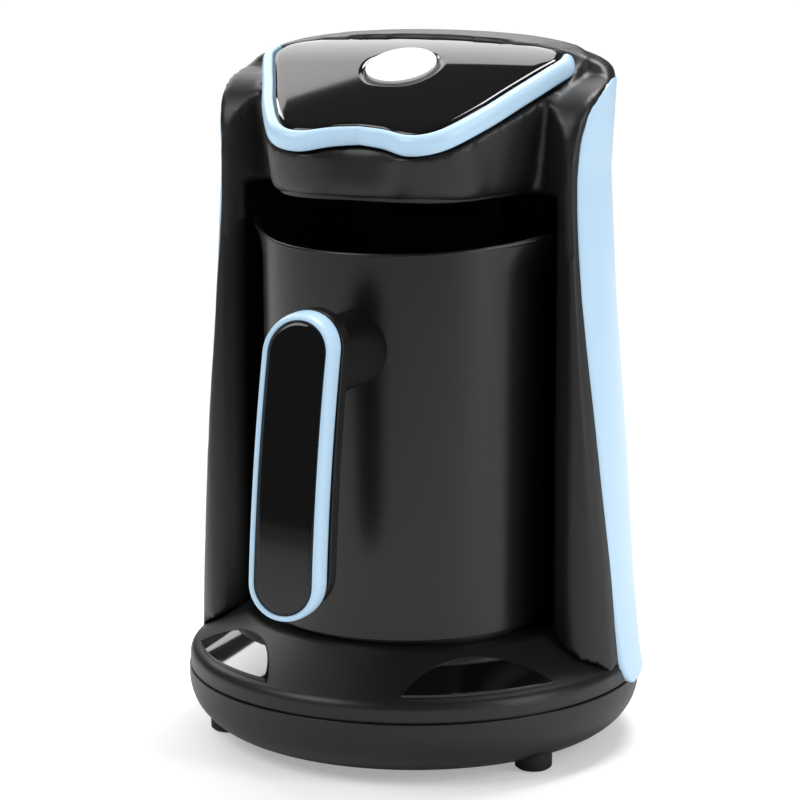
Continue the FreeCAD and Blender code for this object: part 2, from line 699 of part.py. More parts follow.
# Button: a cap with a skirt, a flange below the panel, and a stem over the switch
button_top = panel_crown + button_stand
button = rod(button_radius, -button_skirt, button_top)
button = button.cut(rod(button_radius - 1.2, -button_skirt, -1.2))
button = button.fuse(tube(button_radius + button_flange, button_radius - 1.2,
                          -panel_thickness - button_flange_thickness, -panel_thickness))
button = button.fuse(rod(button_stem_radius, stem_end, -1.2))
button = button.removeSplitter()
nodes["power_button"] = tilted(button)
spring_length = -1.2 - board_level
spring_rise = (spring_length - spring_wire) / (2 * spring_turns)
half_turns = []
for i in range(2 * spring_turns):
    # each half turn is a round wire turned about an axis that leans a little, so that the turns climb
    side = 1 if i % 2 == 0 else -1
    start = Vector(side * spring_radius, 0, board_level + spring_wire / 2 + i * spring_rise)
    end = Vector(-side * spring_radius, 0, start.z + spring_rise)
    wire_end = Part.Face(Part.Wire(Part.makeCircle(spring_wire / 2, start, Vector(0, 1, 0))))
    lean = (end - start).cross(Vector(0, 1, 0)) * -side
    half_turns.append(wire_end.revolve((start + end) * 0.5, lean, 180))
spring = half_turns[0].multiFuse(half_turns[1:])
nodes["button_spring"] = tilted(spring)
head_housing = head_housing.cut(underside)
nodes["control_board"] = tilted(control)

# Screws of the tower, in posts on the bay liner
tower_screws = []
post_circle = bay_radius + tower_wall + screw_post_radius - 1.0
for turn in (-100.0, -150.0, 150.0, 100.0):
    p = polar(post_circle, turn)
    x = p.x
    y = p.y + jug_axis_y
    seat = seam_height + 6.0
    post = rod(screw_post_radius, seat, deck_top_height + 14.0, x, y)
    deck = deck.fuse(post.common(deck_outer).cut(rod(screw_radius + 0.1, 0, deck_top_height, x, y)))
    deck = deck.cut(rod(screw_radius + 0.1, seat - 1, deck_top_height + 5, x, y))
    tower_post = post.cut(deck_outer).cut(bay)
    frame = frame.fuse(tower_post)
    frame = frame.cut(rod(screw_radius, 0, deck_top_height + 10.0, x, y))
    tower_screws.append(screw_up(x, y, seat, deck_top_height + 9.0 - seat))
nodes["tower_screws"] = Part.makeCompound(tower_screws)

# Screws of the rear cover, in posts that reach back from the liner
rear_screws = []
for sx in (-1, 1):
    for z in (72.0, 180.0):
        x = sx * 27.0
        outer_y = math.sqrt(tower_radius_at(z) ** 2 - x ** 2)
        seat_y = outer_y - tower_wall
        post_end = seat_y - screw_cup
        post = rod_y(screw_post_radius, 30.0, post_end, x, z).cut(liner_part)
        frame = frame.fuse(post)
        head = rod_y(screw_head_radius, seat_y, seat_y + screw_head_height, x, z)
        shank = rod_y(screw_radius, seat_y - screw_bite, seat_y, x, z)
        rear_screws.append(head.fuse(shank))
        cup = rod_y(screw_post_radius + 0.8, post_end, seat_y, x, z)
        rear_cover = rear_cover.fuse(cup)
        rear_cover = rear_cover.cut(rod_y(screw_head_radius + 0.2, seat_y, seat_y + 10, x, z))
        rear_cover = rear_cover.cut(rod_y(screw_radius, seat_y - 10, seat_y + 10, x, z))
        frame = frame.cut(rod_y(screw_radius, seat_y - screw_bite - 1, seat_y, x, z))
nodes["rear_screws"] = Part.makeCompound(rear_screws)

# Wires from the power board up the back of the tower to the control board
def cable_path(points):
    edges = []
    last = points[0]
    for i in range(1, len(points) - 1):
        before = points[i - 1] - points[i]
        after = points[i + 1] - points[i]
        cut = 0.42 * min(before.Length, after.Length)
        start = points[i] + before.normalize() * cut
        end = points[i] + after.normalize() * cut
        half = before.getAngle(after) / 2
        radius = cut * math.tan(half)
        bisector = (before + after).normalize()
        centre = points[i] + bisector * (radius / math.sin(half))
        middle = centre - bisector * radius
        edges.append(line(last, start))
        edges.append(arc(start, middle, end))
        last = end
    edges.append(line(last, points[-1]))
    return Part.Wire(edges)


channel_y = (bay_radius + tower_wall + jug_axis_y + tower_waist_radius - tower_wall) / 2
harness_x = 9.0
harness_start_x = 24.0
harness_start_y = 48.0
route = [Vector(harness_start_x, harness_start_y, board_top), Vector(harness_start_x, harness_start_y, board_top + 7.0),
         Vector(harness_x, channel_y, board_top + 16.0),
         Vector(harness_x, channel_y, tower_waist_height - 8.0), Vector(harness_x, channel_y - 14.0, tower_waist_height + 14.0),
         Vector(harness_x, 12.0, tower_waist_height + 15.0), Vector(harness_x, 8.6, tower_waist_height + 29.0)]
path = cable_path(route)
ring = Part.Wire(Part.makeCircle(harness_radius, route[0], Vector(0, 0, 1)))
harness = path.makePipeShell([ring], True, True).cut(nodes["control_board"])
harness = max(harness.Solids, key=lambda part: part.Volume)
wire_hole = rod(harness_radius + 2.0, deck_under - 12.0, deck_top_height + 2, harness_x, channel_y)
deck = deck.cut(wire_hole)
nodes["wire_harness"] = harness


# Jug
def jug_outline(radius, beak, height):
    points = []
    count = 36
    for i in range(count):
        turn = 2 * math.pi * i / count
        away = math.degrees(math.asin(abs(math.sin(turn))))
        swell = 0.0
        if away < spout_half_angle:
            swell = math.cos(math.pi / 2 * away / spout_half_angle) ** 2.6
        reach = radius + beak * swell
        points.append(Vector(reach * math.cos(turn), jug_axis_y + reach * math.sin(turn), height))
    return Part.Wire(curve(points, True))


jug_bottom = plate_top + jug_bottom_gap
spout_start = jug_rim_height - spout_depth


def jug_solid(inset, low):
    top = jug_rim_height + spout_rise + 4.0
    share = (low - jug_bottom) / (jug_rim_height - jug_bottom)
    radius_low = jug_radius + (jug_rim_radius - jug_radius) * share - inset
    body = Part.makeLoft([jug_outline(radius_low, 0, low), jug_outline(jug_rim_radius - inset, 0, spout_start)], True, True)
    sections = [jug_outline(jug_rim_radius - inset, 0, spout_start)]
    flare_height = jug_rim_height + spout_rise - spout_start
    for step, beak in ((0.3, 0.08), (0.6, 0.38), (0.85, 0.76), (1.15, 1.28)):
        sections.append(jug_outline(jug_rim_radius - inset, spout_reach * beak, spout_start + flare_height * step))
    mouth = Part.makeLoft(sections, True, False)
    return body.fuse(mouth)


jug_outer = jug_solid(0.0, jug_bottom)
jug_inner = jug_solid(jug_wall, jug_bottom + jug_floor)
rim_half = []
for share in (0.0, 0.4, 0.75, 1.0, 1.2):
    x = jug_radius * share
    rim_half.append(Vector(x, 0, jug_rim_height + spout_rise * share ** 3.2))
rim_line = [Vector(-p.x, 0, p.z) for p in reversed(rim_half[1:])] + rim_half
rim_floor = -5.0
rim_edges = [curve(rim_line), line(rim_line[-1], Vector(rim_line[-1].x, 0, rim_floor))]
rim_edges += [line(Vector(rim_line[-1].x, 0, rim_floor), Vector(rim_line[0].x, 0, rim_floor))]
rim_edges += [line(Vector(rim_line[0].x, 0, rim_floor), rim_line[0])]
rim_keep = face(rim_edges)
rim_keep.translate(Vector(0, -100, 0))
rim_keep = rim_keep.extrude(Vector(0, 200, 0))
pot = jug_outer.common(rim_keep).cut(jug_inner)
pot = pot.cut(rod(jug_base_radius, 0, plate_top + jug_base_thickness, 0, jug_axis_y))
nodes["jug_pot"] = pot
nodes["jug_base"] = rod(jug_base_radius, plate_top, plate_top + jug_base_thickness, 0, jug_axis_y)


# Handle: blue ring, gloss insert and black back with the boss to the jug
def stadium(width, top, bottom, y0, y1):
    radius = width / 2
    high = top - radius
    low = bottom + radius
    edges = [line(Vector(-radius, y0, low), Vector(-radius, y0, high)),
             arc(Vector(-radius, y0, high), Vector(0, y0, top), Vector(radius, y0, high)),
             line(Vector(radius, y0, high), Vector(radius, y0, low)),
             arc(Vector(radius, y0, low), Vector(0, y0, bottom), Vector(-radius, y0, low))]
    return face(edges).extrude(Vector(0, y1 - y0, 0))


handle_middle_height = (handle_top_height + handle_bottom_height) / 2


def bowed_slab(front, back):
    # slab between two copies of the handle's bow, front and back in depth
    def bow(depth):
        return [Vector(0, handle_top_y + depth, handle_top_height + 1), Vector(0, handle_middle_y + depth, handle_middle_height),
                Vector(0, handle_bottom_y + depth, handle_bottom_height - 1)]
    a = bow(front)
    b = bow(back)
    block = face([arc(a[0], a[1], a[2]), line(a[2], b[2]), arc(b[2], b[1], b[0]), line(b[0], a[0])])
    block.translate(Vector(-handle_width, 0, 0))
    return block.extrude(Vector(2 * handle_width, 0, 0))


far_front = handle_bottom_y - 20.0
far_back = handle_top_y + 30.0
ring_outer = stadium(handle_width, handle_top_height, handle_bottom_height, far_front, far_back)
insert_prism = stadium(handle_width - 2 * handle_ring, handle_top_height - handle_ring, handle_bottom_height + handle_ring,
                       far_front, far_back)
handle_bezel = ring_outer.cut(insert_prism).common(bowed_slab(0.0, handle_ring_depth))
insert_back = handle_insert_recess + handle_insert_thickness
handle_insert = insert_prism.common(bowed_slab(handle_insert_recess, insert_back))
back_prism = stadium(handle_width - 2 * handle_back_margin, handle_top_height - handle_back_margin,
                     handle_bottom_height + handle_back_margin, far_front, far_back)
handle_back = back_prism.common(bowed_slab(handle_ring_depth, handle_ring_depth + handle_back_depth))
handle_back = handle_back.fuse(insert_prism.common(bowed_slab(insert_back, handle_ring_depth)))
boss = rod_y(boss_radius, handle_top_y + 2.0, jug_axis_y, 0, boss_height).cut(jug_outer)
boss = boss.cut(bowed_slab(-30.0, handle_ring_depth + 0.5))
handle_back = handle_back.fuse(boss).removeSplitter()
handle_screws = []
for dz in (-5.0, 5.0):
    z = boss_height + dz
    wall_y = jug_axis_y - jug_radius
    head = rod_y(screw_head_radius, wall_y + jug_wall, wall_y + jug_wall + screw_head_height, 0, z)
    shank = rod_y(screw_radius, wall_y - screw_bite, wall_y + jug_wall, 0, z)
    pot = pot.cut(rod_y(screw_radius, wall_y - 5, wall_y + 5, 0, z))
    handle_back = handle_back.cut(rod_y(screw_radius, wall_y - screw_bite, wall_y, 0, z))
    handle_screws.append(head.cut(jug_outer.cut(jug_inner)).fuse(shank))
nodes["handle_screws"] = Part.makeCompound(handle_screws)
nodes["jug_pot"] = pot
nodes["handle_bezel"] = handle_bezel
nodes["handle_insert"] = handle_insert
nodes["handle_back"] = handle_back

nodes["base_pan"] = pan
nodes["base_deck"] = deck
nodes["tower_frame"] = frame
nodes["rear_cover"] = rear_cover
nodes["top_cover"] = top_cover
nodes["head_housing"] = head_housing

# Place the origin under the middle of the whole object
front_y = nodes["handle_bezel"].optimalBoundingBox().YMin
rear_y = nodes["cord_gland"].optimalBoundingBox().YMax
shift = Vector(0, -(front_y + rear_y) / 2, 0)
print("shift", shift)
for name, shape in nodes.items():
    placed = shape.copy()
    placed.translate(shift)
    placed.exportStep("parts/" + name + ".step")
    print(name, "valid" if shape.isValid() else "NOT VALID", len(shape.Solids), round(shape.Volume))
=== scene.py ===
# %% [markdown]
# # An electric pot for Turkish coffee, dressed for its portrait
# The solid model is already made and packed. It arrives here as a frame of
# finished pieces: a round base with a hot plate, a horseshoe tower, a head with
# one button, and a jug that slides out. This file gives those pieces their
# finishes, adds the small forms that are easier to make with meshes, and sets
# up the light, the floor and the camera.

# %% Load the frame
import math

import bmesh
import bpy
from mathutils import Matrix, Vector


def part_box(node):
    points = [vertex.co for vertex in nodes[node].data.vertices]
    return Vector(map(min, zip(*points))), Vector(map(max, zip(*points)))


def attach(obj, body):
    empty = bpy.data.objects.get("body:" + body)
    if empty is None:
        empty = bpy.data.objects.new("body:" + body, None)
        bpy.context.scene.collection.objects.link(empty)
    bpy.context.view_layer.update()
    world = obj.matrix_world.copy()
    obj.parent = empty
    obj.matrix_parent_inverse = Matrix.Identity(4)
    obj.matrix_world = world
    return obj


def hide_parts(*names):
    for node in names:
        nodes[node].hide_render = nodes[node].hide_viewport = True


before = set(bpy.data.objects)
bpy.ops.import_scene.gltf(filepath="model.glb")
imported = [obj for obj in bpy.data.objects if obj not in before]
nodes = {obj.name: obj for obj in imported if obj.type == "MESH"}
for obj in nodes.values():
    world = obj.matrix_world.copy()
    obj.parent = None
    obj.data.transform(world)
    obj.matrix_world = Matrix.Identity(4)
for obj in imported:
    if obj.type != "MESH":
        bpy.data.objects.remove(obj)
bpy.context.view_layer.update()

# %% [markdown]
# Everything is in metres, because that is what the frame uses, but people talk
# about a coffee maker in millimetres. One small factor keeps the numbers below
# readable. The whole model is a little longer than the base, because the
# handle sticks out in front, so the tower's own axis does not go through the
# origin. We read that shift from the base instead of typing it.

# %% Units and the axis of the base
MM = 0.001
base_low, base_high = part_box("base_pan")
axis_y = (base_low.y + base_high.y) / 2
print("axis of the base at y =", round(axis_y / MM, 2), "mm")

# %% [markdown]
# ## The camera
# The picture was taken from a little to the right of the front and from
# slightly above, with a long lens. A long lens is what keeps the verticals of
# the tower almost parallel. We place the camera on a sphere round a target in
# the middle of the tower: one angle round, one angle up, one distance. The
# small shifts move the frame the way a view camera does, without turning it.

# %% Camera
target = Vector((0.0, axis_y, 110.0 * MM))
turn = math.radians(22.226)
lift = math.radians(11.650)
distance = 1017.7 * MM
picture_side = 800.0

camera_data = bpy.data.cameras.new("portrait_camera")
camera_data.sensor_width = 36.0
camera_data.lens = camera_data.sensor_width * 2892.4 / picture_side
camera_data.shift_x = (400.0 - 414.1) / picture_side
camera_data.shift_y = (420.7 - 400.0) / picture_side
camera_data.clip_start = 0.01
camera = bpy.data.objects.new("portrait_camera", camera_data)
bpy.context.scene.collection.objects.link(camera)
outward = Vector((math.sin(turn) * math.cos(lift), -math.cos(turn) * math.cos(lift), math.sin(lift)))
camera.location = target + distance * outward
camera.rotation_euler = (-outward).to_track_quat("-Z", "Y").to_euler()
bpy.context.scene.camera = camera
print("lens", round(camera_data.lens, 1), "mm, camera at", [round(c, 3) for c in camera.location])

# %% [markdown]
# ## Small helpers for materials
# A material is a little graph of nodes. The helpers only save typing: one makes
# a material with its surface shader, one adds a node and sets its sockets, and
# one turns a colour picked on a screen into the linear values a shader wants.

# %% Material helpers
def linear(red, green, blue):
    def channel(value):
        value = value / 255.0
        return value / 12.92 if value <= 0.04045 else ((value + 0.055) / 1.055) ** 2.4
    return (channel(red), channel(green), channel(blue), 1.0)


def add_node(tree, kind, place=(0, 0), **values):
    node = tree.nodes.new(kind)
    node.location = place
    for key, value in values.items():
        socket = node.inputs.get(key.replace("_", " "))
        if socket is not None:
            socket.default_value = value
        else:
            setattr(node, key, value)
    return node


def new_material(name, **values):
    material = bpy.data.materials.new(name)
    material.use_nodes = True
    shader = material.node_tree.nodes["Principled BSDF"]
    for key, value in values.items():
        shader.inputs[key.replace("_", " ")].default_value = value
    return material, material.node_tree, shader


finishes = {}
print("helpers ready")

# %% [markdown]
# ## A shared effect: moulded grain
# Nearly every visible piece is moulded plastic. A mould is spark eroded, which
# leaves a very fine, even pebble grain, and the gloss differs slightly from
# place to place. Both come from noise in object space: a fine one drives a
# bump, a coarse one moves the roughness and the colour a touch. Because many
# finishes need the same thing, it is one node group with named sockets, and
# each material sets its own numbers.

# %% Shader group for moulded grain
def shader_group(name, inputs, outputs):
    tree = bpy.data.node_groups.new(name, "ShaderNodeTree")
    for label, kind, value in inputs:
        socket = tree.interface.new_socket(name=label, in_out="INPUT", socket_type=kind)
        socket.default_value = value
    for label, kind in outputs:
        tree.interface.new_socket(name=label, in_out="OUTPUT", socket_type=kind)
    start = add_node(tree, "NodeGroupInput", (-900, 0))
    end = add_node(tree, "NodeGroupOutput", (700, 0))
    return tree, start, end


grain_group, grain_in, grain_out = shader_group(
    "moulded grain",
    [("Tone", "NodeSocketColor", (0.02, 0.02, 0.02, 1.0)), ("Tone Spread", "NodeSocketFloat", 0.1),
     ("Roughness", "NodeSocketFloat", 0.5), ("Roughness Spread", "NodeSocketFloat", 0.05),
     ("Grain Size", "NodeSocketFloat", 2200.0), ("Grain Depth", "NodeSocketFloat", 0.1),
     ("Edge Round", "NodeSocketFloat", 0.0005)],
    [("Color", "NodeSocketColor"), ("Roughness", "NodeSocketFloat"), ("Normal", "NodeSocketVector")])


def build_grain(tree, start, end):
    links = tree.links
    place = add_node(tree, "ShaderNodeTexCoord", (-900, 300))
    fine = add_node(tree, "ShaderNodeTexNoise", (-600, 300), Detail=3.0)
    coarse = add_node(tree, "ShaderNodeTexNoise", (-600, -100), Scale=38.0, Detail=4.0)
    links.new(place.outputs["Object"], fine.inputs["Vector"])
    links.new(place.outputs["Object"], coarse.inputs["Vector"])
    links.new(start.outputs["Grain Size"], fine.inputs["Scale"])
    centred = add_node(tree, "ShaderNodeMath", (-380, -100), operation="SUBTRACT")
    centred.inputs[1].default_value = 0.5
    links.new(coarse.outputs["Fac"], centred.inputs[0])
    rough = add_node(tree, "ShaderNodeMath", (-150, -200), operation="MULTIPLY_ADD")
    links.new(centred.outputs[0], rough.inputs[0])
    links.new(start.outputs["Roughness Spread"], rough.inputs[1])
    links.new(start.outputs["Roughness"], rough.inputs[2])
    lighter = add_node(tree, "ShaderNodeMath", (-150, 0), operation="MULTIPLY_ADD")
    lighter.inputs[2].default_value = 1.0
    links.new(centred.outputs[0], lighter.inputs[0])
    links.new(start.outputs["Tone Spread"], lighter.inputs[1])
    tone = add_node(tree, "ShaderNodeVectorMath", (60, 60), operation="SCALE")
    links.new(start.outputs["Tone"], tone.inputs[0])
    links.new(lighter.outputs[0], tone.inputs["Scale"])
    edge = add_node(tree, "ShaderNodeBevel", (-380, 460), samples=6)
    links.new(start.outputs["Edge Round"], edge.inputs["Radius"])
    bump = add_node(tree, "ShaderNodeBump", (100, 300), Distance=0.0001)
    links.new(fine.outputs["Fac"], bump.inputs["Height"])
    links.new(start.outputs["Grain Depth"], bump.inputs["Strength"])
    links.new(edge.outputs["Normal"], bump.inputs["Normal"])
    links.new(tone.outputs[0], end.inputs["Color"])
    links.new(rough.outputs[0], end.inputs["Roughness"])
    links.new(bump.outputs["Normal"], end.inputs["Normal"])


build_grain(grain_group, grain_in, grain_out)
print("group:", grain_group.name, "with", len(grain_group.nodes), "nodes")

# %% [markdown]
# A plastic is then one call: a shader, the grain group, and three links. What is the same all over the
# surface, such as the metal of the steel finishes, is written straight on the shader's own socket, so that it
# also survives an export.

# %% Plastic finishes
def plastic(name, tone, spread=0.1, rough=0.5, rough_spread=0.06, grain=2200.0, depth=0.1, edge=0.5,
            **shader_values):
    material, tree, shader = new_material(name, **shader_values)
    group = add_node(tree, "ShaderNodeGroup", (-300, 0))
    group.node_tree = grain_group
    group.inputs["Tone"].default_value = tone
    group.inputs["Tone Spread"].default_value = spread
    group.inputs["Roughness"].default_value = rough
    group.inputs["Roughness Spread"].default_value = rough_spread
    group.inputs["Grain Size"].default_value = grain
    group.inputs["Grain Depth"].default_value = depth
    group.inputs["Edge Round"].default_value = edge * MM
    tree.links.new(group.outputs["Color"], shader.inputs["Base Color"])
    tree.links.new(group.outputs["Roughness"], shader.inputs["Roughness"])
    tree.links.new(group.outputs["Normal"], shader.inputs["Normal"])
    finishes[name] = material
    return material


plastic("shell_black", linear(19, 19, 20), spread=0.25, rough=0.42, rough_spread=0.06, depth=0.12,
        edge=0.7)
plastic("gloss_black", linear(12, 12, 13), spread=0.1, rough=0.05, rough_spread=0.03, grain=300.0,
        depth=0.01, edge=0.4)
plastic("jug_black", linear(16, 16, 17), spread=0.2, rough=0.3, rough_spread=0.05, grain=1500.0,
        depth=0.05, edge=0.4)
plastic("handle_black", linear(17, 17, 18), spread=0.2, rough=0.3, rough_spread=0.05, grain=1900.0,
        depth=0.06, edge=0.9)
plastic("pale_blue", linear(192, 225, 250), spread=0.03, rough=0.3, rough_spread=0.05, grain=1800.0,
        depth=0.03, edge=1.0)
plastic("button_white", linear(246, 247, 248), spread=0.02, rough=0.28, rough_spread=0.04,
        grain=1800.0, depth=0.03, edge=0.6)
print("plastics:", ", ".join(sorted(finishes)))

# %% [markdown]
# ## The other finishes
# The hot plate is a turned metal disc with a dark non stick coat, so its fine
# rings run round the jug's axis. Feet, gland and seal are rubber: rough, with a
# coarser grain. Screws and the spring are plated steel. The pieces inside are
# never seen in the portrait, but whoever takes the model apart will see them.

# %% Hot plate
def plate_finish(centre):
    material, tree, shader = new_material("hot_plate", Metallic=0.9)
    place = add_node(tree, "ShaderNodeTexCoord", (-1000, 0))
    shifted = add_node(tree, "ShaderNodeMapping", (-800, 0))
    shifted.inputs["Location"].default_value = (-centre.x, -centre.y, 0.0)
    rings = add_node(tree, "ShaderNodeTexWave", (-600, 0), Scale=260.0, Distortion=0.4, Detail=1.0)
    rings.wave_type = "RINGS"
    rings.rings_direction = "Z"
    shade = add_node(tree, "ShaderNodeValToRGB", (-350, 100))
    shade.color_ramp.elements[0].color = linear(58, 58, 60)
    shade.color_ramp.elements[1].color = linear(84, 84, 86)
    bump = add_node(tree, "ShaderNodeBump", (-350, -200), Distance=0.0001, Strength=0.25)
    tree.links.new(place.outputs["Object"], shifted.inputs["Vector"])
    tree.links.new(shifted.outputs["Vector"], rings.inputs["Vector"])
    tree.links.new(rings.outputs["Fac"], shade.inputs["Fac"])
    tree.links.new(rings.outputs["Fac"], bump.inputs["Height"])
    tree.links.new(shade.outputs["Color"], shader.inputs["Base Color"])
    tree.links.new(bump.outputs["Normal"], shader.inputs["Normal"])
    shader.inputs["Roughness"].default_value = 0.42
    finishes["hot_plate"] = material
    return material


plate_low, plate_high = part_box("heating_plate")
plate_centre = (plate_low + plate_high) / 2
plate_finish(plate_centre)
print("hot plate turned about", [round(c / MM, 1) for c in plate_centre])

# %% [markdown]
# The pieces inside get plain, believable finishes with the same group: only the
# numbers differ. A thermostat is white ceramic, a terminal block pale nylon, a
# board green, and the heater tube is steel that the heat has dulled.

# %% Rubber, steel and the pieces inside
plastic("rubber", linear(22, 22, 22), spread=0.3, rough=0.72, grain=900.0, depth=0.25, edge=0.6)
plastic("grey_silicone", linear(92, 94, 96), spread=0.1, rough=0.55, grain=900.0, depth=0.1)
plastic("plated_steel", linear(176, 178, 182), spread=0.08, rough=0.3, rough_spread=0.1, grain=3000.0,
        depth=0.05,
        Metallic=1.0)
plastic("heater_steel", linear(128, 124, 120), spread=0.15, rough=0.4, rough_spread=0.12, grain=2400.0,
        depth=0.08,
        Metallic=1.0)
plastic("ceramic_white", linear(226, 224, 214), spread=0.05, rough=0.45, grain=2000.0, depth=0.05)
plastic("terminal_nylon", linear(214, 212, 196), spread=0.05, rough=0.5, grain=2600.0, depth=0.08)
plastic("board_green", linear(28, 86, 58), spread=0.3, rough=0.35, grain=1200.0, depth=0.08)
plastic("wire_sleeve", linear(40, 40, 44), spread=0.3, rough=0.55, grain=1600.0, depth=0.3)
plastic("sensor_smoke", linear(16, 14, 18), spread=0.1, rough=0.08, grain=600.0, depth=0.01)
print("finishes in all:", len(finishes))

# %% [markdown]
# Now the finishes go on the pieces. A piece from the frame keeps its shape and
# its place; only the material in its slot changes.

# %% Hand out the finishes
wears = {
    "shell_black": ["base_pan", "base_deck", "tower_frame", "rear_cover", "top_cover", "head_housing",
                    "head_underside"],
    "gloss_black": ["deck_window_left", "deck_window_right", "head_panel", "handle_insert"],
    "jug_black": ["jug_pot", "jug_base"],
    "handle_black": ["handle_back"],
    "pale_blue": ["side_trim_left", "side_trim_right", "head_bezel", "handle_bezel"],
    "button_white": ["power_button"],
    "hot_plate": ["heating_plate"],
    "rubber": ["feet", "cord_gland"],
    "grey_silicone": ["plate_seal"],
    "plated_steel": ["base_screws", "tower_screws", "rear_screws", "handle_screws", "heater_screws",
                     "button_spring"],
    "heater_steel": ["heating_element", "heater_bracket"],
    "ceramic_white": ["thermostat", "thermal_fuse"],
    "terminal_nylon": ["terminal_block", "tact_switch"],
    "board_green": ["power_board", "control_board"],
    "wire_sleeve": ["wire_harness", "boil_sensor"],
    "sensor_smoke": ["sensor_window"],
}
for finish, names in wears.items():
    for name in names:
        nodes[name].data.materials.clear()
        nodes[name].data.materials.append(finishes[finish])
dressed = [name for names in wears.values() for name in names]
print("dressed", len(dressed), "of", len(nodes), "pieces; left out:", sorted(set(nodes) - set(dressed)))

# %% [markdown]
# ## Geometry Nodes, in small steps
# A tree of geometry nodes is a recipe that can be run again with other sizes.
# The helper adds one arithmetic node and links what it is given, so that a
# formula reads almost like a formula. Another turns the recipe's result into a
# plain mesh, which is what an exporter wants.

# %% Helpers for geometry recipes
def recipe(name, inputs):
    tree = bpy.data.node_groups.new(name, "GeometryNodeTree")
    tree.interface.new_socket(name="Geometry", in_out="INPUT", socket_type="NodeSocketGeometry")
    for label, kind, value in inputs:
        socket = tree.interface.new_socket(name=label, in_out="INPUT", socket_type=kind)
        if value is not None:
            socket.default_value = value
    tree.interface.new_socket(name="Geometry", in_out="OUTPUT", socket_type="NodeSocketGeometry")
    return tree, tree.nodes.new("NodeGroupInput"), tree.nodes.new("NodeGroupOutput")


def sum_node(tree, operation, *terms):
    node = tree.nodes.new("ShaderNodeMath")
    node.operation = operation
    for socket, term in zip(node.inputs, terms):
        if isinstance(term, (int, float)):
            socket.default_value = term
        else:
            tree.links.new(term, socket)
    return node.outputs[0]


def close_recipe(tree, start, end, geometry, kinds):
    # the last steps of a recipe: copies become real, then the material goes on
    for kind in kinds + ["GeometryNodeRealizeInstances", "GeometryNodeSetMaterial"]:
        node = tree.nodes.new(kind)
        tree.links.new(geometry, node.inputs["Geometry"])
        geometry = node.outputs["Geometry"]
    tree.links.new(start.outputs["Material"], node.inputs["Material"])
    tree.links.new(geometry, end.inputs["Geometry"])


def cook(tree, name, values, body):
    # run the recipe on an empty mesh, keep the result as a plain mesh, and
    # let it ride on its body
    carrier = bpy.data.objects.new(name + "_recipe", bpy.data.meshes.new(name + "_recipe"))
    bpy.context.scene.collection.objects.link(carrier)
    modifier = carrier.modifiers.new("recipe", "NODES")
    modifier.node_group = tree
    for item in tree.interface.items_tree:
        if item.in_out == "INPUT" and item.name in values:
            modifier[item.identifier] = values[item.name]
    graph = bpy.context.evaluated_depsgraph_get()
    graph.update()
    mesh = bpy.data.meshes.new_from_object(carrier.evaluated_get(graph))
    bpy.data.objects.remove(carrier)
    piece = bpy.data.objects.new(name, mesh)
    bpy.context.scene.collection.objects.link(piece)
    if not mesh.materials:
        mesh.materials.append(values["Material"])
    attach(piece, body)
    print(name, "has", len(mesh.polygons), "faces")
    return piece


print("recipe helpers ready")

# %% [markdown]
# ## The jug's rolled rim
# The pot is pressed from sheet, and its edge is rolled over, so the rim is a
# soft bead and not a knife edge. It follows a rule: a circle that swells into
# two pouring beaks, left and right, and climbs towards their tips. The recipe
# bends a circle by that rule and sweeps a small round section along it.

# %% Recipe for the rolled rim
rim_tree, rim_in, rim_out = recipe("rolled rim", [
    ("Radius", "NodeSocketFloat", 0.05), ("Beak", "NodeSocketFloat", 0.005),
    ("Beak Angle", "NodeSocketFloat", 0.73), ("Height", "NodeSocketFloat", 0.176),
    ("Rise", "NodeSocketFloat", 0.0036), ("Bead", "NodeSocketFloat", 0.0009),
    ("Centre Y", "NodeSocketFloat", 0.0), ("Material", "NodeSocketMaterial", None)])


def build_rim(tree, start, end):
    links = tree.links
    circle = add_node(tree, "GeometryNodeCurvePrimitiveCircle", mode="RADIUS", Resolution=240, Radius=1.0)
    share = tree.nodes.new("GeometryNodeSplineParameter")
    angle = sum_node(tree, "MULTIPLY", share.outputs["Factor"], 2 * math.pi)
    across = sum_node(tree, "COSINE", angle)
    along = sum_node(tree, "SINE", angle)
    away = sum_node(tree, "ARCSINE", sum_node(tree, "ABSOLUTE", along))
    part = sum_node(tree, "MINIMUM", sum_node(tree, "DIVIDE", away, start.outputs["Beak Angle"]), 1.0)
    swell = sum_node(tree, "COSINE", sum_node(tree, "MULTIPLY", part, math.pi / 2))
    swell = sum_node(tree, "POWER", sum_node(tree, "MAXIMUM", swell, 0.0), 2.6)
    reach = sum_node(tree, "MULTIPLY_ADD", swell, start.outputs["Beak"], start.outputs["Radius"])
    x = sum_node(tree, "MULTIPLY", across, reach)
    y = sum_node(tree, "MULTIPLY_ADD", along, reach, start.outputs["Centre Y"])
    side = sum_node(tree, "DIVIDE", sum_node(tree, "ABSOLUTE", x), start.outputs["Radius"])
    climb = sum_node(tree, "POWER", side, 3.2)
    z = sum_node(tree, "MULTIPLY_ADD", climb, start.outputs["Rise"], start.outputs["Height"])
    point = tree.nodes.new("ShaderNodeCombineXYZ")
    for socket, value in zip(point.inputs, (x, y, z)):
        links.new(value, socket)
    bent = tree.nodes.new("GeometryNodeSetPosition")
    links.new(circle.outputs["Curve"], bent.inputs["Geometry"])
    links.new(point.outputs[0], bent.inputs["Position"])
    section = add_node(tree, "GeometryNodeCurvePrimitiveCircle", mode="RADIUS", Resolution=12)
    links.new(start.outputs["Bead"], section.inputs["Radius"])
    swept = tree.nodes.new("GeometryNodeCurveToMesh")
    links.new(bent.outputs["Geometry"], swept.inputs["Curve"])
    links.new(section.outputs["Curve"], swept.inputs["Profile Curve"])
    close_recipe(tree, start, end, swept.outputs["Mesh"], ["GeometryNodeSetShadeSmooth"])


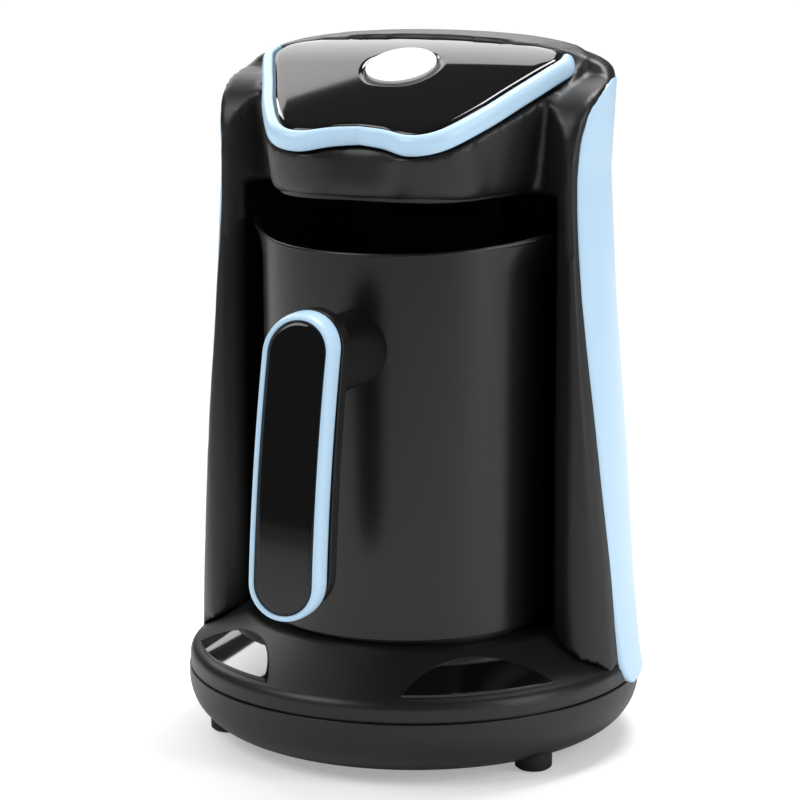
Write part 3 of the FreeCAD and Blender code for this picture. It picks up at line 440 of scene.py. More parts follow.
build_rim(rim_tree, rim_in, rim_out)
pot_low, pot_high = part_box("jug_pot")
cook(rim_tree, "jug_rim", {
    "Radius": 49.4 * MM, "Beak": 5.3 * MM, "Beak Angle": math.radians(42.0), "Height": 176.3 * MM,
    "Rise": 2.6 * MM, "Bead": 0.85 * MM, "Centre Y": plate_centre.y,
    "Material": finishes["jug_black"]}, "jug")
print("rim from", [round(c / MM, 1) for c in pot_low], "to", [round(c / MM, 1) for c in pot_high])

# %% [markdown]
# ## The feet
# Four identical rubber feet carry the base. One foot is a small turned form
# with a soft lower edge, and the recipe puts a copy on each of four points.
# Copies are only real once they are realised, so that node comes last but one.

# %% Recipe for the feet
foot_tree, foot_in, foot_out = recipe("turned feet", [
    ("Foot Radius", "NodeSocketFloat", 0.0064), ("Foot Height", "NodeSocketFloat", 0.004),
    ("Soft Edge", "NodeSocketFloat", 0.001), ("Half Width", "NodeSocketFloat", 0.0575),
    ("Half Depth", "NodeSocketFloat", 0.033), ("Centre Y", "NodeSocketFloat", 0.0),
    ("Material", "NodeSocketMaterial", None)])


def build_feet(tree, start, end):
    links = tree.links
    grid = add_node(tree, "GeometryNodeMeshGrid", Vertices_X=2, Vertices_Y=2)
    links.new(sum_node(tree, "MULTIPLY", start.outputs["Half Width"], 2.0), grid.inputs["Size X"])
    links.new(sum_node(tree, "MULTIPLY", start.outputs["Half Depth"], 2.0), grid.inputs["Size Y"])
    lower = tree.nodes.new("ShaderNodeCombineXYZ")
    links.new(start.outputs["Centre Y"], lower.inputs["Y"])
    places = tree.nodes.new("GeometryNodeSetPosition")
    links.new(grid.outputs["Mesh"], places.inputs["Geometry"])
    links.new(lower.outputs[0], places.inputs["Offset"])
    ring = add_node(tree, "GeometryNodeMeshCylinder", Vertices=40, Side_Segments=8, fill_type="NGON")
    links.new(start.outputs["Foot Radius"], ring.inputs["Radius"])
    links.new(start.outputs["Foot Height"], ring.inputs["Depth"])
    # near the ground the side is drawn in, which makes the soft edge
    where = tree.nodes.new("GeometryNodeInputPosition")
    parts = tree.nodes.new("ShaderNodeSeparateXYZ")
    links.new(where.outputs[0], parts.inputs[0])
    half = sum_node(tree, "MULTIPLY", start.outputs["Foot Height"], 0.5)
    above = sum_node(tree, "ADD", parts.outputs["Z"], half)
    share = sum_node(tree, "MINIMUM", sum_node(tree, "DIVIDE", above, start.outputs["Soft Edge"]), 1.0)
    rest = sum_node(tree, "SUBTRACT", 1.0, share)
    drawn = sum_node(tree, "MULTIPLY", sum_node(tree, "POWER", rest, 2.0), start.outputs["Soft Edge"])
    factor = sum_node(tree, "SUBTRACT", 1.0, sum_node(tree, "DIVIDE", drawn, start.outputs["Foot Radius"]))
    shaped = tree.nodes.new("ShaderNodeCombineXYZ")
    links.new(sum_node(tree, "MULTIPLY", parts.outputs["X"], factor), shaped.inputs["X"])
    links.new(sum_node(tree, "MULTIPLY", parts.outputs["Y"], factor), shaped.inputs["Y"])
    links.new(above, shaped.inputs["Z"])
    foot = tree.nodes.new("GeometryNodeSetPosition")
    links.new(ring.outputs["Mesh"], foot.inputs["Geometry"])
    links.new(shaped.outputs[0], foot.inputs["Position"])
    copies = tree.nodes.new("GeometryNodeInstanceOnPoints")
    links.new(places.outputs["Geometry"], copies.inputs["Points"])
    links.new(foot.outputs["Geometry"], copies.inputs["Instance"])
    close_recipe(tree, start, end, copies.outputs["Instances"], [])


build_feet(foot_tree, foot_in, foot_out)
feet_low, feet_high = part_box("feet")
foot_radius = 6.4 * MM
feet = cook(foot_tree, "soft_feet", {
    "Foot Radius": foot_radius, "Foot Height": feet_high.z, "Soft Edge": 1.2 * MM,
    "Half Width": (feet_high.x - feet_low.x) / 2 - foot_radius,
    "Half Depth": (feet_high.y - feet_low.y) / 2 - foot_radius,
    "Centre Y": (feet_high.y + feet_low.y) / 2, "Material": finishes["rubber"]}, "base")
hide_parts("feet")
print("feet stand", round(feet_high.z / MM, 1), "mm high")

# %% [markdown]
# ## The tower and the head in one soft skin
# On the real pot the columns, the shoulders and the head flow into each other
# with soft folds. Hard cut solids can not show that, but a distance rule can:
# write how far a point lies outside the wall, outside the plan of the column
# fronts, above the dome, and blend these with smooth maxima and minima. The
# surface is where the rule gives zero. Geometry Nodes evaluate the rule in a
# block of space and a mesher draws the surface, so every edge gets its soft
# radius for free.
#
# Lengths are in millimetres and angles in degrees. Each line below is a soft
# curve through a few points, such as the wall's radius at each height.

# %% The main lines of the skin
def shaped_by(tree, source, points, low_out, high_out):
    # the curve's value at source; all its values lie between low_out and high_out
    low, high = points[0][0], points[-1][0]
    share = sum_node(tree, "DIVIDE", sum_node(tree, "SUBTRACT", source, low), high - low)
    node = tree.nodes.new("ShaderNodeFloatCurve")
    track = node.mapping.curves[0]
    places = [((a - low) / (high - low), (b - low_out) / (high_out - low_out)) for a, b in points]
    track.points[0].location = places[0]
    track.points[1].location = places[-1]
    for place in places[1:-1]:
        track.points.new(*place)
    node.mapping.extend = "HORIZONTAL"
    node.mapping.update()
    tree.links.new(share, node.inputs["Value"])
    return sum_node(tree, "MULTIPLY_ADD", node.outputs[0], high_out - low_out, low_out)


# height to radius of the wall, and radius to height of the dome and the deck
wall_line = [(0, 79.6), (27, 79.2), (101, 74.4), (154, 70.1), (200, 67.6), (228, 69.0), (250, 69.6)]
dome_line = [(0, 245.0), (20, 244.5), (40, 243.2), (50, 241.7), (60, 238.9), (70, 234.6), (90, 226.0)]
deck_line = [(0, 43.5), (56, 43.5), (58.5, 43.2), (60.5, 42.3), (77.4, 31.3), (79, 28.5), (90, 20.0)]
# distance from the middle plane to the column's front
front_line = [(0, 1.0), (30, -4.4), (49, -8.4), (57, -15.0), (62.8, -19.4), (66.5, -21.0), (70, -20.2),
              (74.5, -16.5), (80, -10.0), (90, 1.0)]
# height to the shoulder's front, and how steep the shoulder is there, which
# keeps the wall's thickness even
shoulder_line = [(190, -40.0), (200, -24.0), (206, -19.6), (214, -18.2), (221, -14.6), (226, -9.0),
                 (229.5, -1.0), (232, 8.0), (236, 12.0), (240, 12.0)]
slope_line = [(190, 0.5), (200, 0.7), (206, 0.95), (214, 0.95), (221, 0.7), (226, 0.5), (229.5, 0.3),
              (232, 0.2), (240, 0.16)]
# angle from the front to the head's radius, low and high, and to the panel's seat
head_low_line = [(0, 50.2), (6, 50.4), (22, 53.0), (38, 53.4), (55, 49.2), (75, 47.6), (86, 49.0),
                 (110, 50.0), (180, 50.0)]
head_high_line = [(0, 48.4), (6, 49.0), (20.6, 56.6), (32.4, 57.4), (49.4, 53.3), (62, 52.4), (85, 54.8),
                  (92, 57.0), (110, 57.0), (180, 57.0)]
seat_line = [(0, 49.7), (20.6, 57.0), (32.4, 57.8), (49.4, 53.7), (62, 52.8), (80, 54.2), (88, 55.6),
             (92, 52.6), (99, 46.0), (106, 38.8), (117, 29.6), (140, 20.2), (180, 15.2)]
print("the wall, dome and column fronts follow", len(wall_line + dome_line + front_line), "points")

# %% [markdown]
# A helper shortens the sums, and each form is a function that returns how far a
# point lies outside it. The tower is the wall and the dome, cut by the column
# fronts and by the bay that the jug stands in.

# %% Distance to the tower
DOME_BLEND = 7.0
BAY_BLEND = 2.0
FRONT_STEEPNESS = 0.75


def calculator(tree):
    def calc(operation, *terms):
        return sum_node(tree, operation, *terms)
    return calc


def length_of(calc, a, b):
    return calc("SQRT", calc("ADD", calc("MULTIPLY", a, a), calc("MULTIPLY", b, b)))


def above_dome(tree, calc, z, radius):
    return calc("SUBTRACT", z, shaped_by(tree, radius, dome_line, 220, 250))


def bay_distance(calc, start, x, y, z):
    # a round well with a straight opening to the front, up to the head
    width = start.outputs["Bay Radius"]
    back = calc("SUBTRACT", y, start.outputs["Jug Y"])
    round_part = calc("SUBTRACT", length_of(calc, x, back), width)
    straight = calc("MAXIMUM", calc("SUBTRACT", x, width), back)
    well = calc("MINIMUM", round_part, straight)
    return calc("MAXIMUM", well, calc("SUBTRACT", z, start.outputs["Head Bottom"]))


def tower_distance(tree, start, x, y, z, radius):
    calc = calculator(tree)
    wall = calc("SUBTRACT", radius, shaped_by(tree, z, wall_line, 50, 90))
    body = calc("SMOOTH_MAX", wall, above_dome(tree, calc, z, radius), DOME_BLEND)
    plan = calc("SUBTRACT", shaped_by(tree, x, front_line, -40, 40), y)
    side = calc("SUBTRACT", shaped_by(tree, z, shoulder_line, -60, 80), y)
    side = calc("MULTIPLY", side, shaped_by(tree, z, slope_line, 0, 1))
    limit = calc("MAXIMUM", calc("MULTIPLY", plan, FRONT_STEEPNESS), side)
    body = calc("SMOOTH_MAX", body, limit, start.outputs["Corner Blend"])
    return calc("SMOOTH_MAX", body, calc("MULTIPLY", bay_distance(calc, start, x, y, z), -1.0), BAY_BLEND)


print("tower rule ready")

# %% [markdown]
# The head leans outwards from a small lower outline to a larger upper one, and
# ends on the tilted plane that carries the panel. Its lower edge is rounded.
# Two openings follow: a shallow seat for the panel, and a well for the button.

# %% Distance to the head and its openings
HEAD_EDGE_BLEND = 9.0
PLANE_RISE, PLANE_HEIGHT = 0.4245, 230.94
WELL_MIDDLE, WELL_RADIUS, WELL_FLOOR = 8.0, 22.0, 202.0


def head_distance(tree, start, z, radius, turn_by, plane):
    calc = calculator(tree)
    bottom = start.outputs["Head Bottom"]
    height = calc("SUBTRACT", z, bottom)
    share = calc("DIVIDE", height, calc("SUBTRACT", plane, bottom))
    share = calc("MINIMUM", calc("MAXIMUM", share, 0.0), 1.0)
    low = shaped_by(tree, turn_by, head_low_line, 40, 60)
    high = shaped_by(tree, turn_by, head_high_line, 40, 60)
    side = calc("SUBTRACT", radius, calc("MULTIPLY_ADD", calc("SUBTRACT", high, low), share, low))
    body = calc("SMOOTH_MAX", side, calc("MULTIPLY", height, -1.0), HEAD_EDGE_BLEND)
    top = calc("MAXIMUM", calc("SUBTRACT", z, plane), above_dome(tree, calc, z, radius))
    return calc("MAXIMUM", body, top)


def openings_distance(tree, x, y, z, radius, turn_by, plane):
    calc = calculator(tree)
    seat = calc("SUBTRACT", radius, shaped_by(tree, turn_by, seat_line, 10, 60))
    seat = calc("MAXIMUM", seat, calc("SUBTRACT", plane, z))
    # under the button the head is open, so that its stem can move
    well = calc("SUBTRACT", length_of(calc, x, calc("ADD", y, WELL_MIDDLE)), WELL_RADIUS)
    well = calc("MAXIMUM", well, calc("SUBTRACT", WELL_FLOOR, z))
    return calc("MINIMUM", seat, well)


print("head rule ready")

# %% [markdown]
# The recipe joins both rules with a smooth minimum, which makes the fold
# between head and column. It hollows the result to a wall, leaves out what the
# rear cover and the deck already are, and hands the rule to the mesher. A finer
# block gives a smoother skin and more faces: 130 cells across are about 1.3 mm.

# %% Recipe for the skin
REAR_LIMIT, COVER_TOP = 46.0, 229.5
BLOCK_LOW, BLOCK_HIGH = (-84, -62, 24), (84, 78, 250)
BLOCK_SIZE = [high - low for low, high in zip(BLOCK_LOW, BLOCK_HIGH)]

skin_tree, skin_in, skin_out = recipe("soft skin", [
    ("Axis Y", "NodeSocketFloat", 0.0), ("Jug Y", "NodeSocketFloat", -5.4),
    ("Bay Radius", "NodeSocketFloat", 57.6), ("Head Bottom", "NodeSocketFloat", 193.9),
    ("Wall", "NodeSocketFloat", 2.4), ("Corner Blend", "NodeSocketFloat", 4.0),
    ("Fold Blend", "NodeSocketFloat", 5.0), ("Cells", "NodeSocketInt", 120),
    ("Material", "NodeSocketMaterial", None)])


def skin_distance(tree, start):
    calc = calculator(tree)
    where = tree.nodes.new("GeometryNodeInputPosition")
    parts = tree.nodes.new("ShaderNodeSeparateXYZ")
    tree.links.new(where.outputs[0], parts.inputs[0])
    x = calc("ABSOLUTE", calc("MULTIPLY", parts.outputs["X"], 1 / MM))
    y = calc("MULTIPLY", calc("SUBTRACT", parts.outputs["Y"], start.outputs["Axis Y"]), 1 / MM)
    z = calc("MULTIPLY", parts.outputs["Z"], 1 / MM)
    radius = length_of(calc, x, y)
    turn_by = calc("DEGREES", calc("ARCTAN2", x, calc("MULTIPLY", y, -1.0)))
    plane = calc("MULTIPLY_ADD", y, PLANE_RISE, PLANE_HEIGHT)
    tower = tower_distance(tree, start, x, y, z, radius)
    head = head_distance(tree, start, z, radius, turn_by, plane)
    solid = calc("SMOOTH_MIN", tower, head, start.outputs["Fold Blend"])
    inside = calc("MULTIPLY", calc("ADD", solid, start.outputs["Wall"]), -1.0)
    shell = calc("MAXIMUM", solid, inside)
    opening = openings_distance(tree, x, y, z, radius, turn_by, plane)
    shell = calc("MAXIMUM", shell, calc("MULTIPLY", opening, -1.0))
    rear = calc("MINIMUM", calc("SUBTRACT", y, REAR_LIMIT), calc("SUBTRACT", COVER_TOP, z))
    shell = calc("MAXIMUM", shell, rear)
    deck = shaped_by(tree, radius, deck_line, 0, 60)
    return calc("MAXIMUM", shell, calc("SUBTRACT", deck, z))


def build_skin(tree, start, end):
    calc = calculator(tree)
    block = tree.nodes.new("GeometryNodeVolumeCube")
    tree.links.new(calc("MULTIPLY", skin_distance(tree, start), -1.0), block.inputs["Density"])
    block.inputs["Background"].default_value = -5.0
    for label, (x, y, z) in (("Min", BLOCK_LOW), ("Max", BLOCK_HIGH)):
        block.inputs[label].default_value = (x * MM, axis_y + y * MM, z * MM)
    for label, size in zip("XYZ", BLOCK_SIZE):
        count = calc("MULTIPLY", start.outputs["Cells"], size / BLOCK_SIZE[0])
        tree.links.new(count, block.inputs["Resolution " + label])
    surface = add_node(tree, "GeometryNodeVolumeToMesh", Threshold=0.0, Adaptivity=0.02)
    tree.links.new(block.outputs["Volume"], surface.inputs["Volume"])
    close_recipe(tree, start, end, surface.outputs["Mesh"], ["GeometryNodeSetShadeSmooth"])


build_skin(skin_tree, skin_in, skin_out)
skin = cook(skin_tree, "tower_skin", {
    "Axis Y": axis_y, "Jug Y": -5.4, "Bay Radius": 57.6, "Head Bottom": 193.4, "Wall": 3.0,
    "Corner Blend": 3.0, "Fold Blend": 5.0, "Cells": 130,
    "Material": finishes["shell_black"]}, "base")
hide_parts("tower_frame", "top_cover", "head_housing")
print("skin spans", [round(d / MM) for d in skin.dimensions])

# %% [markdown]
# ## The blue band round the head
# The band has one section all along: a narrow bright top, a round shoulder and
# a deeper front. It runs between two outlines on the tilted plane, the inner
# one along the gloss panel and the outer one a band width further out. Moving
# the section from pair to pair of points gives the whole band. A few helpers
# come first, because the trims, the panel and the handle need them too.

# %% Helpers for ruled pieces
def spline_value(p, q, r, w, t):
    # the value a share t of the way from q to r, with p before and w after them
    return 0.5 * (2 * q + (r - p) * t + (2 * p - 5 * q + 4 * r - w) * t * t
                  + (3 * q - p - 3 * r + w) * t ** 3)


def smooth_path(points, steps):
    # passes through all points, with soft turns between them
    path = []
    for i in range(len(points) - 1):
        before = points[max(i - 1, 0)]
        after = points[min(i + 2, len(points) - 1)]
        for step in range(steps):
            t = step / steps
            corners = zip(before, points[i], points[i + 1], after)
            path.append(tuple(spline_value(*corner, t) for corner in corners))
    path.append(tuple(points[-1]))
    return path


def piece_from(name, points, faces, body, material):
    mesh = bpy.data.meshes.new(name)
    mesh.from_pydata([tuple(p) for p in points], [], faces)
    form = bmesh.new()
    form.from_mesh(mesh)
    bmesh.ops.remove_doubles(form, verts=form.verts, dist=0.02 * MM)
    bmesh.ops.recalc_face_normals(form, faces=form.faces)
    form.to_mesh(mesh)
    form.free()
    mesh.shade_smooth()
    mesh.materials.append(material)
    piece = bpy.data.objects.new(name, mesh)
    bpy.context.scene.collection.objects.link(piece)
    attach(piece, body)
    print(name, "has", len(mesh.polygons), "faces")
    return piece


def band_faces(rows, columns, closed):
    # quads between rows of points; each row is a closed section
    faces = []
    for i in range(rows if closed else rows - 1):
        for j in range(columns):
            k = (j + 1) % columns
            a, b = i * columns, ((i + 1) % rows) * columns
            faces.append((a + j, a + k, b + k, b + j))
    if not closed:
        faces.append(tuple(range(columns)))
        faces.append(tuple(reversed(range((rows - 1) * columns, rows * columns))))
    return faces


def ring_faces(rings, count):
    # quads between rings of points, from the edge inwards
    faces = []
    for ring in range(rings):
        a, b = ring * count, (ring + 1) * count
        for j in range(count):
            k = (j + 1) % count
            faces.append((a + j, a + k, b + k, b + j))
    return faces


def give_wall(piece, thickness):
    wall = piece.modifiers.new("thickness", "SOLIDIFY")
    wall.thickness = thickness
    wall.offset = -1.0


print("helpers for ruled pieces ready")

# %% [markdown]
# The panel's plane leans back by 23 degrees. On it, a point has a distance
# across, a distance up the slope and a height off the plane. Everything on the
# head is written that way and then put into space by one function.

# %% The tilted plane of the head
lean = math.radians(23.0)
lean_up = Vector((0, math.cos(lean), math.sin(lean)))
lean_out = Vector((0, -math.sin(lean), math.cos(lean)))
panel_middle = Vector((0, axis_y - 10.9 * MM, 233.7 * MM))
bend_start, bend_length, bend_depth = 2.0, 28.0, 3.6


def rear_bend(v):
    # towards the rear the moulding bends down to meet the dome
    return bend_depth * max(0.0, (v - bend_start) / bend_length) ** 2


def on_panel(x, v, height):
    height = height - rear_bend(v)
    return panel_middle + Vector((x * MM, 0, 0)) + lean_up * (v * MM) + lean_out * (height * MM)


print("panel leans", round(math.degrees(lean)), "degrees")

# %% [markdown]
# Half of each outline is enough, because the head is the same left and right.
# Both ends of the band sink a little, so that it runs out softly at the rear.

# %% Band round the head
inner_half = [(0, -40.4), (9, -41.6), (20, -44.6), (28.4, -40.6), (36.6, -27), (43.6, -11), (50.2, 4),
              (52.9, 11.5), (52.4, 17.0)]
outer_half = [(0, -42.9), (9, -44.9), (20, -49.2), (31.0, -44.4), (40.6, -28.8), (47.7, -12.4), (54.2, 2.8),
              (57.0, 11.5), (55.4, 18.5)]
inner_side = smooth_path(inner_half, 12)
outer_side = smooth_path(outer_half, 12)
inner_path = [(-x, v) for x, v in reversed(inner_side[1:])] + inner_side
outer_path = [(-x, v) for x, v in reversed(outer_side[1:])] + outer_side
# share of the way out, and height in millimetres
band_root = -3.0
band_section = [(0.0, band_root), (0.0, 0.0), (0.12, 0.45), (0.3, 0.62), (0.5, 0.5), (0.72, 0.0),
                (0.88, -0.9), (0.97, -2.2), (1.0, -3.6), (1.0, -4.8), (0.94, -5.4), (0.7, -5.6)]
end_steps, end_share = 5, 0.55


def band_points(inner, outer, section):
    points = []
    last = len(inner) - 1
    for i, (a, b) in enumerate(zip(inner, outer)):
        near_end = min(i, last - i) / end_steps
        ease = 1.0
        if near_end < 1:
            ease = end_share + (1 - end_share) * math.sqrt(1 - (1 - near_end) ** 2)
        for share, height in section:
            x = a[0] + (b[0] - a[0]) * share
            v = a[1] + (b[1] - a[1]) * share
            points.append(on_panel(x, v, band_root + (height - band_root) * ease))
    return points


band = piece_from("head_band", band_points(inner_path, outer_path, band_section),
                  band_faces(len(inner_path), len(band_section), False), "base", finishes["pale_blue"])
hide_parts("head_bezel")

# %% [markdown]
# ## The gloss panel
# The panel inside the band is one moulding with a gentle crown. Towards the
# rear it bends down to meet the dome of the tower, and that bend is what makes
# the top of the head look round and not like a flat lid. It is a fan of rings
# from the edge to the button's hole, each ring a little higher than the last.

# %% Gloss panel
hole_radius = 12.6
panel_rings = 14
rear_steps = 24
rear_wide, rear_deep = inner_half[-1][0], 13.0
panel_gap = 0.1


def panel_outline():
    half = [(x - panel_gap if x > 1 else x, v) for x, v in inner_side]
    for step in range(1, rear_steps + 1):
        angle = math.pi / 2 * step / rear_steps
        half.append((rear_wide * math.cos(angle), inner_half[-1][1] + rear_deep * math.sin(angle)))
    return half + [(-x, v) for x, v in reversed(half[1:-1])]


def panel_height(x, v):
    return 1.5 * (1 - (x / 56.0) ** 2) - 0.8 * (v / 40.0) ** 2


def panel_points(outline):
    points = []
    for ring in range(panel_rings + 1):
        share = 1 - ring / panel_rings
        # the outermost ring dips, which rounds the panel's edge
        edge_drop = 0.35 * max(0.0, 1 - (1 - share) * 12) ** 2
        for x, v in outline:
            length = math.hypot(x, v)
            hole_x, hole_v = x / length * hole_radius, v / length * hole_radius
            px = hole_x + (x - hole_x) * share
            pv = hole_v + (v - hole_v) * share
            points.append(on_panel(px, pv, panel_height(px, pv) - edge_drop))
    return points


outline = panel_outline()
panel = piece_from("gloss_panel", panel_points(outline), ring_faces(panel_rings, len(outline)), "base",
                   finishes["gloss_black"])
give_wall(panel, 2.0 * MM)
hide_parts("head_panel")

# %% [markdown]
# ## The side trims
# Each flank carries a long blue strip bent round the wall. It is ruled by
# height: at every height the strip starts at its front edge, follows the wall's
# circle to the rear cover and comes back a little deeper. The offset fades out
# near every edge, which rounds it.

# %% Side trims
wall_at = [(21, 79.9), (27.1, 79.2), (101, 74.4), (154, 70.1), (200, 67.6), (228, 69.0), (232, 69.2)]
trim_front = [(21.7, 5.1), (24, -0.6), (28, -4.9), (33, -6.9), (55, -9.6), (108, -13.8), (160, -17.4),
              (200, -17.2), (213, -16.0), (222, -12.2), (226, -5.7), (230, 3.4), (231.5, 11.9)]
trim_stand = [(21.7, 2.0), (33, 1.3), (60, 0.5), (232, 0.4)]
trim_rear = 46.0
trim_round = 1.6
trim_edge_depth, trim_back_depth = 0.8, 1.4


def along_line(points, place):
    for (a, start_value), (b, end_value) in zip(points, points[1:]):
        if place <= b:
            return start_value + (end_value - start_value) * max(0.0, place - a) / (b - a)
    return points[-1][1]


def round_off(distance, radius):
    # 0 at an edge, 1 from one radius inwards, along a quarter circle
    part = min(max(distance / radius, 0.0), 1.0)
    return math.sqrt(1 - (1 - part) ** 2)


def trim_rows():
    low, high = trim_front[0][0], trim_front[-1][0]
    ends = [0.0, 0.15, 0.5, 1.0, 1.6]
    middle = [low + 2.4 + (high - low - 4.8) * i / 70 for i in range(71)]
    return [low + d for d in ends] + middle + [high - d for d in reversed(ends)]


def trim_points(side):
    points = []
    rows = trim_rows()
    near = [0, 0.006, 0.02, 0.04, 0.07]
    shares = near + [0.07 + 0.86 * i / 14 for i in range(1, 14)] + [0.93, 0.96, 0.98, 0.994, 1]

    def add(angle, away, height):
        points.append((side * away * math.cos(angle) * MM, axis_y + away * math.sin(angle) * MM, height * MM))

    for height in rows:
        wall, stand = along_line(wall_at, height), along_line(trim_stand, height)
        first = math.asin(along_line(trim_front, height) / wall)
        sweep = math.asin(trim_rear / wall) - first
        end_ease = round_off(min(height - rows[0], rows[-1] - height), trim_round)
        for share in shares:
            from_edge = min(share, 1 - share) * sweep * wall
            ease = min(round_off(from_edge, trim_round), end_ease)
            add(first + sweep * share, wall - trim_edge_depth + (stand + trim_edge_depth) * ease, height)
        for share in reversed(shares):
            add(first + sweep * share, wall - trim_back_depth, height)
    return points, len(rows), 2 * len(shares)


for side_name, side in (("left", -1), ("right", 1)):
    points, rows, columns = trim_points(side)
    strip = piece_from("side_strip_" + side_name, points, band_faces(rows, columns, False), "base",
                       finishes["pale_blue"])
    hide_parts("side_trim_" + side_name)

# %% [markdown]
# ## The handle
# The handle is a bowed paddle: a blue ring with a soft section round a black
# gloss insert. Both follow the same bow, a shallow curve seen from the side.
# The ring is a racetrack, two straights and two half circles, with the section
# carried round it.

# %% The handle's bow and track
handle_high, handle_low = 163.2, 65.2
handle_half = 10.2
ring_width = 2.2
bow_points = ((handle_high, -96.4), (114.0, -107.4), (handle_low, -112.7))


def bow(height):
    # the soft curve through three points
    (z1, y1), (z2, y2), (z3, y3) = bow_points
    return (y1 * (height - z2) * (height - z3) / ((z1 - z2) * (z1 - z3))
            + y2 * (height - z1) * (height - z3) / ((z2 - z1) * (z2 - z3))
            + y3 * (height - z1) * (height - z2) / ((z3 - z1) * (z3 - z2)))


def racetrack(arc_steps=20, side_steps=24):
    # middle points and outward directions round the track
    top = handle_high - ring_width - handle_half
    low = handle_low + ring_width + handle_half
    track = []
    for first_angle, here, there, away in ((0.0, top, low, -1.0), (math.pi, low, top, 1.0)):
        for i in range(arc_steps):
            a = first_angle + math.pi * i / arc_steps
            track.append(((0.0, here), (math.cos(a), math.sin(a))))
        for i in range(side_steps):
            track.append(((0.0, here + (there - here) * i / side_steps), (away, 0.0)))
    return track


def handle_point(middle, away, offset, depth):
    x = middle[0] + away[0] * offset
    z = middle[1] + away[1] * offset
    return Vector((x * MM, axis_y + (bow(z) + depth) * MM, z * MM))


track = racetrack()
print("track of", len(track), "points")

# %% [markdown]
# The section is listed as offset from the insert's edge and depth behind the
# bow. The insert is drawn in towards the middle of the track in a few rings,
# with a faint crown, and stands a little behind the ring's front.

# %% Handle ring and insert
ring_section = [(0.0, 3.0), (0.0, 0.9), (0.25, 0.3), (0.7, 0.0), (1.2, 0.1), (1.6, 0.6), (1.9, 1.6),
                (2.15, 3.6), (2.2, 6.6), (2.1, 7.8), (1.5, 8.2), (0.6, 8.2)]
ring_points = [handle_point(middle, away, handle_half + offset, depth)
               for middle, away in track for offset, depth in ring_section]
ring = piece_from("handle_ring", ring_points, band_faces(len(track), len(ring_section), True), "jug",
                  finishes["pale_blue"])
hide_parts("handle_bezel")

insert_rings = 6
insert_depth, insert_crown = 0.85, 0.25
insert_points = []
for step in range(insert_rings + 1):
    share = 1 - step / insert_rings
    depth = insert_depth - insert_crown * (1 - share ** 2)
    insert_points += [handle_point(middle, away, handle_half * share, depth) for middle, away in track]
insert = piece_from("handle_gloss", insert_points, ring_faces(insert_rings, len(track)), "jug",
                    finishes["gloss_black"])
give_wall(insert, 2.0 * MM)
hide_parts("handle_insert")

# %% [markdown]
# ## The studio
# A plain pale floor first. Near the piece it is a real floor that takes the
# soft shadow. Further out it fades to pure white, for the eye of the camera
# only, so that no grey horizon cuts the picture behind the tower.

# %% Floor
floor_mesh = bpy.data.meshes.new("floor")
reach = 6.0
corners = [(-reach, -reach, 0), (reach, -reach, 0), (reach, reach, 0), (-reach, reach, 0)]
floor_mesh.from_pydata(corners, [], [(0, 1, 2, 3)])
floor = bpy.data.objects.new("floor", floor_mesh)
bpy.context.scene.collection.objects.link(floor)
floor.location.z = -0.0002

floor_material, floor_tree, floor_shader = new_material("pale_floor", Roughness=0.9)
floor_shader.inputs["Emission Color"].default_value = (1.0, 1.0, 1.0, 1.0)
path = add_node(floor_tree, "ShaderNodeLightPath", (-600, -200))
seen = add_node(floor_tree, "ShaderNodeMath", (-400, -200), operation="MAXIMUM")
glow = add_node(floor_tree, "ShaderNodeMath", (-200, -200), operation="MULTIPLY")
floor_glow = 0.34
floor_base = 0.82
# away from the piece the floor fades to pure white paper
spot = add_node(floor_tree, "ShaderNodeTexCoord", (-1200, 200))
span = add_node(floor_tree, "ShaderNodeVectorMath", (-1000, 200), operation="LENGTH")
fade = add_node(floor_tree, "ShaderNodeMapRange", (-800, 200), From_Min=0.13, From_Max=0.42,
                interpolation_type="SMOOTHSTEP")
floor_tree.links.new(spot.outputs["Object"], span.inputs[0])
floor_tree.links.new(span.outputs["Value"], fade.inputs["Value"])
seen_fade = sum_node(floor_tree, "MULTIPLY", fade.outputs["Result"], seen.outputs[0])
paper = sum_node(floor_tree, "MULTIPLY_ADD", seen_fade, -floor_base, floor_base)
floor_tree.links.new(paper, floor_shader.inputs["Base Color"])
level = sum_node(floor_tree, "MULTIPLY_ADD", fade.outputs["Result"], 1.0 - floor_glow, floor_glow)
floor_tree.links.new(level, glow.inputs[1])
floor_tree.links.new(path.outputs["Is Camera Ray"], seen.inputs[0])
floor_tree.links.new(path.outputs["Is Transmission Ray"], seen.inputs[1])
floor_tree.links.new(seen.outputs[0], glow.inputs[0])
floor_tree.links.new(glow.outputs[0], floor_shader.inputs["Emission Strength"])
floor_mesh.materials.append(floor_material)
print("floor is", 2 * reach, "m wide")

# %% [markdown]
# The room itself is an even, quiet light. What the camera sees of it is white,
# the way a product picture is cut out on white, but what the dark gloss
# mirrors is kept low, or every black piece would look grey.

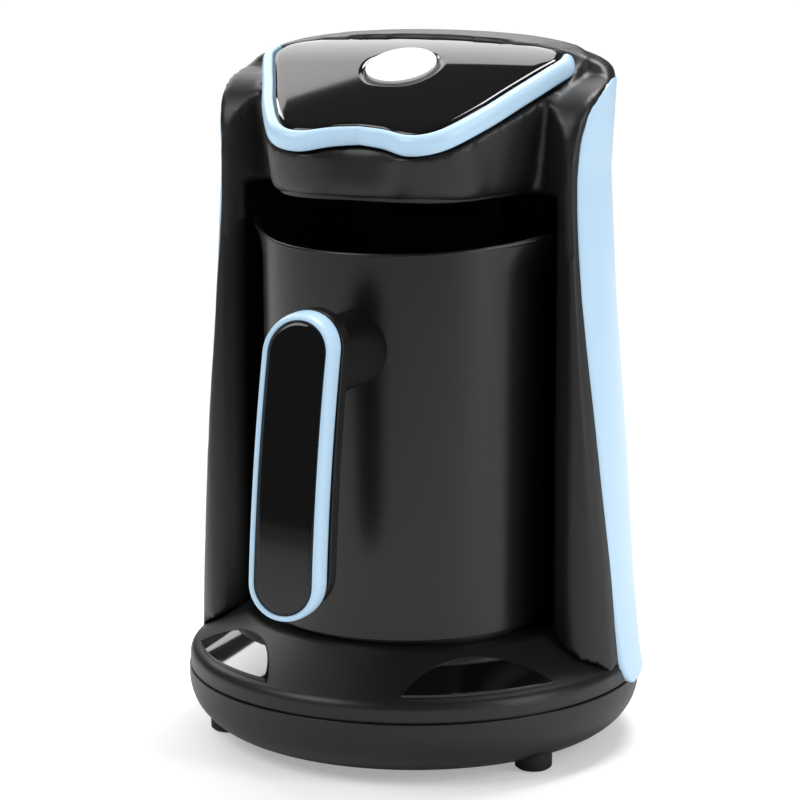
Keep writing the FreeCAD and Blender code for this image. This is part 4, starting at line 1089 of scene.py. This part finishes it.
# %% World
world = bpy.data.worlds.new("studio")
bpy.context.scene.world = world
world.use_nodes = True
world_tree = world.node_tree
sky = world_tree.nodes["Background"]
sky.inputs["Color"].default_value = (1.0, 1.0, 1.0, 1.0)
world_path = add_node(world_tree, "ShaderNodeLightPath", (-800, 0))
room = 0.36
glossy_room = 0.1


def world_level(tree, source):
    clear = sum_node(tree, "MAXIMUM", source.outputs["Is Camera Ray"], source.outputs["Is Transmission Ray"])
    glossy = sum_node(tree, "MULTIPLY_ADD", source.outputs["Is Glossy Ray"], glossy_room - room, room)
    missing = sum_node(tree, "SUBTRACT", 1.0, glossy)
    return sum_node(tree, "MULTIPLY_ADD", clear, missing, glossy)


world_tree.links.new(world_level(world_tree, world_path), sky.inputs["Strength"])
print("room light", room, "and in reflections", glossy_room)

# %% [markdown]
# Five soft boxes. The key stands front left and high. A tall narrow one on the
# right edges the jug and the right column. The one behind lays the grey sheet
# over the rear half of the panel, and its upper edge is what ends that sheet.
# A small one overhead and a slim one at the left give the deck its sheen and
# the deck windows something bright to mirror.

# %% Soft boxes
def soft_box(name, place, aim, width, height, power):
    data = bpy.data.lights.new(name, "AREA")
    data.shape = "RECTANGLE"
    data.size = width
    data.size_y = height
    data.energy = power
    light = bpy.data.objects.new(name, data)
    bpy.context.scene.collection.objects.link(light)
    light.location = place
    light.rotation_euler = (Vector(aim) - Vector(place)).to_track_quat("-Z", "Y").to_euler()
    light.visible_camera = False
    print(name, width, "x", height, "m,", power, "W")
    return light


soft_box("key_box", (-0.9, -1.1, 1.5), (0, 0, 0.1), 1.0, 1.0, 16.0)
soft_box("right_box", (1.5, -0.2, 0.7), (0, 0, 0.12), 0.5, 1.2, 9.0)
soft_box("back_box", (-0.8, 1.25, 1.07), (0, 0, 0.2), 1.1, 1.0, 9.0)
soft_box("top_box", (0.15, 0.6, 1.45), (0, 0, 0.0), 0.45, 0.6, 14.0)
soft_box("left_box", (-1.3, 0.75, 1.15), (0, 0, 0.0), 0.2, 0.6, 3.0)

# %% [markdown]
# ## Finish
# The picture is developed with the plain Standard transform, so a colour renders about as it is written.

# %% Colour management and finish
bpy.context.scene.view_settings.view_transform = "Standard"
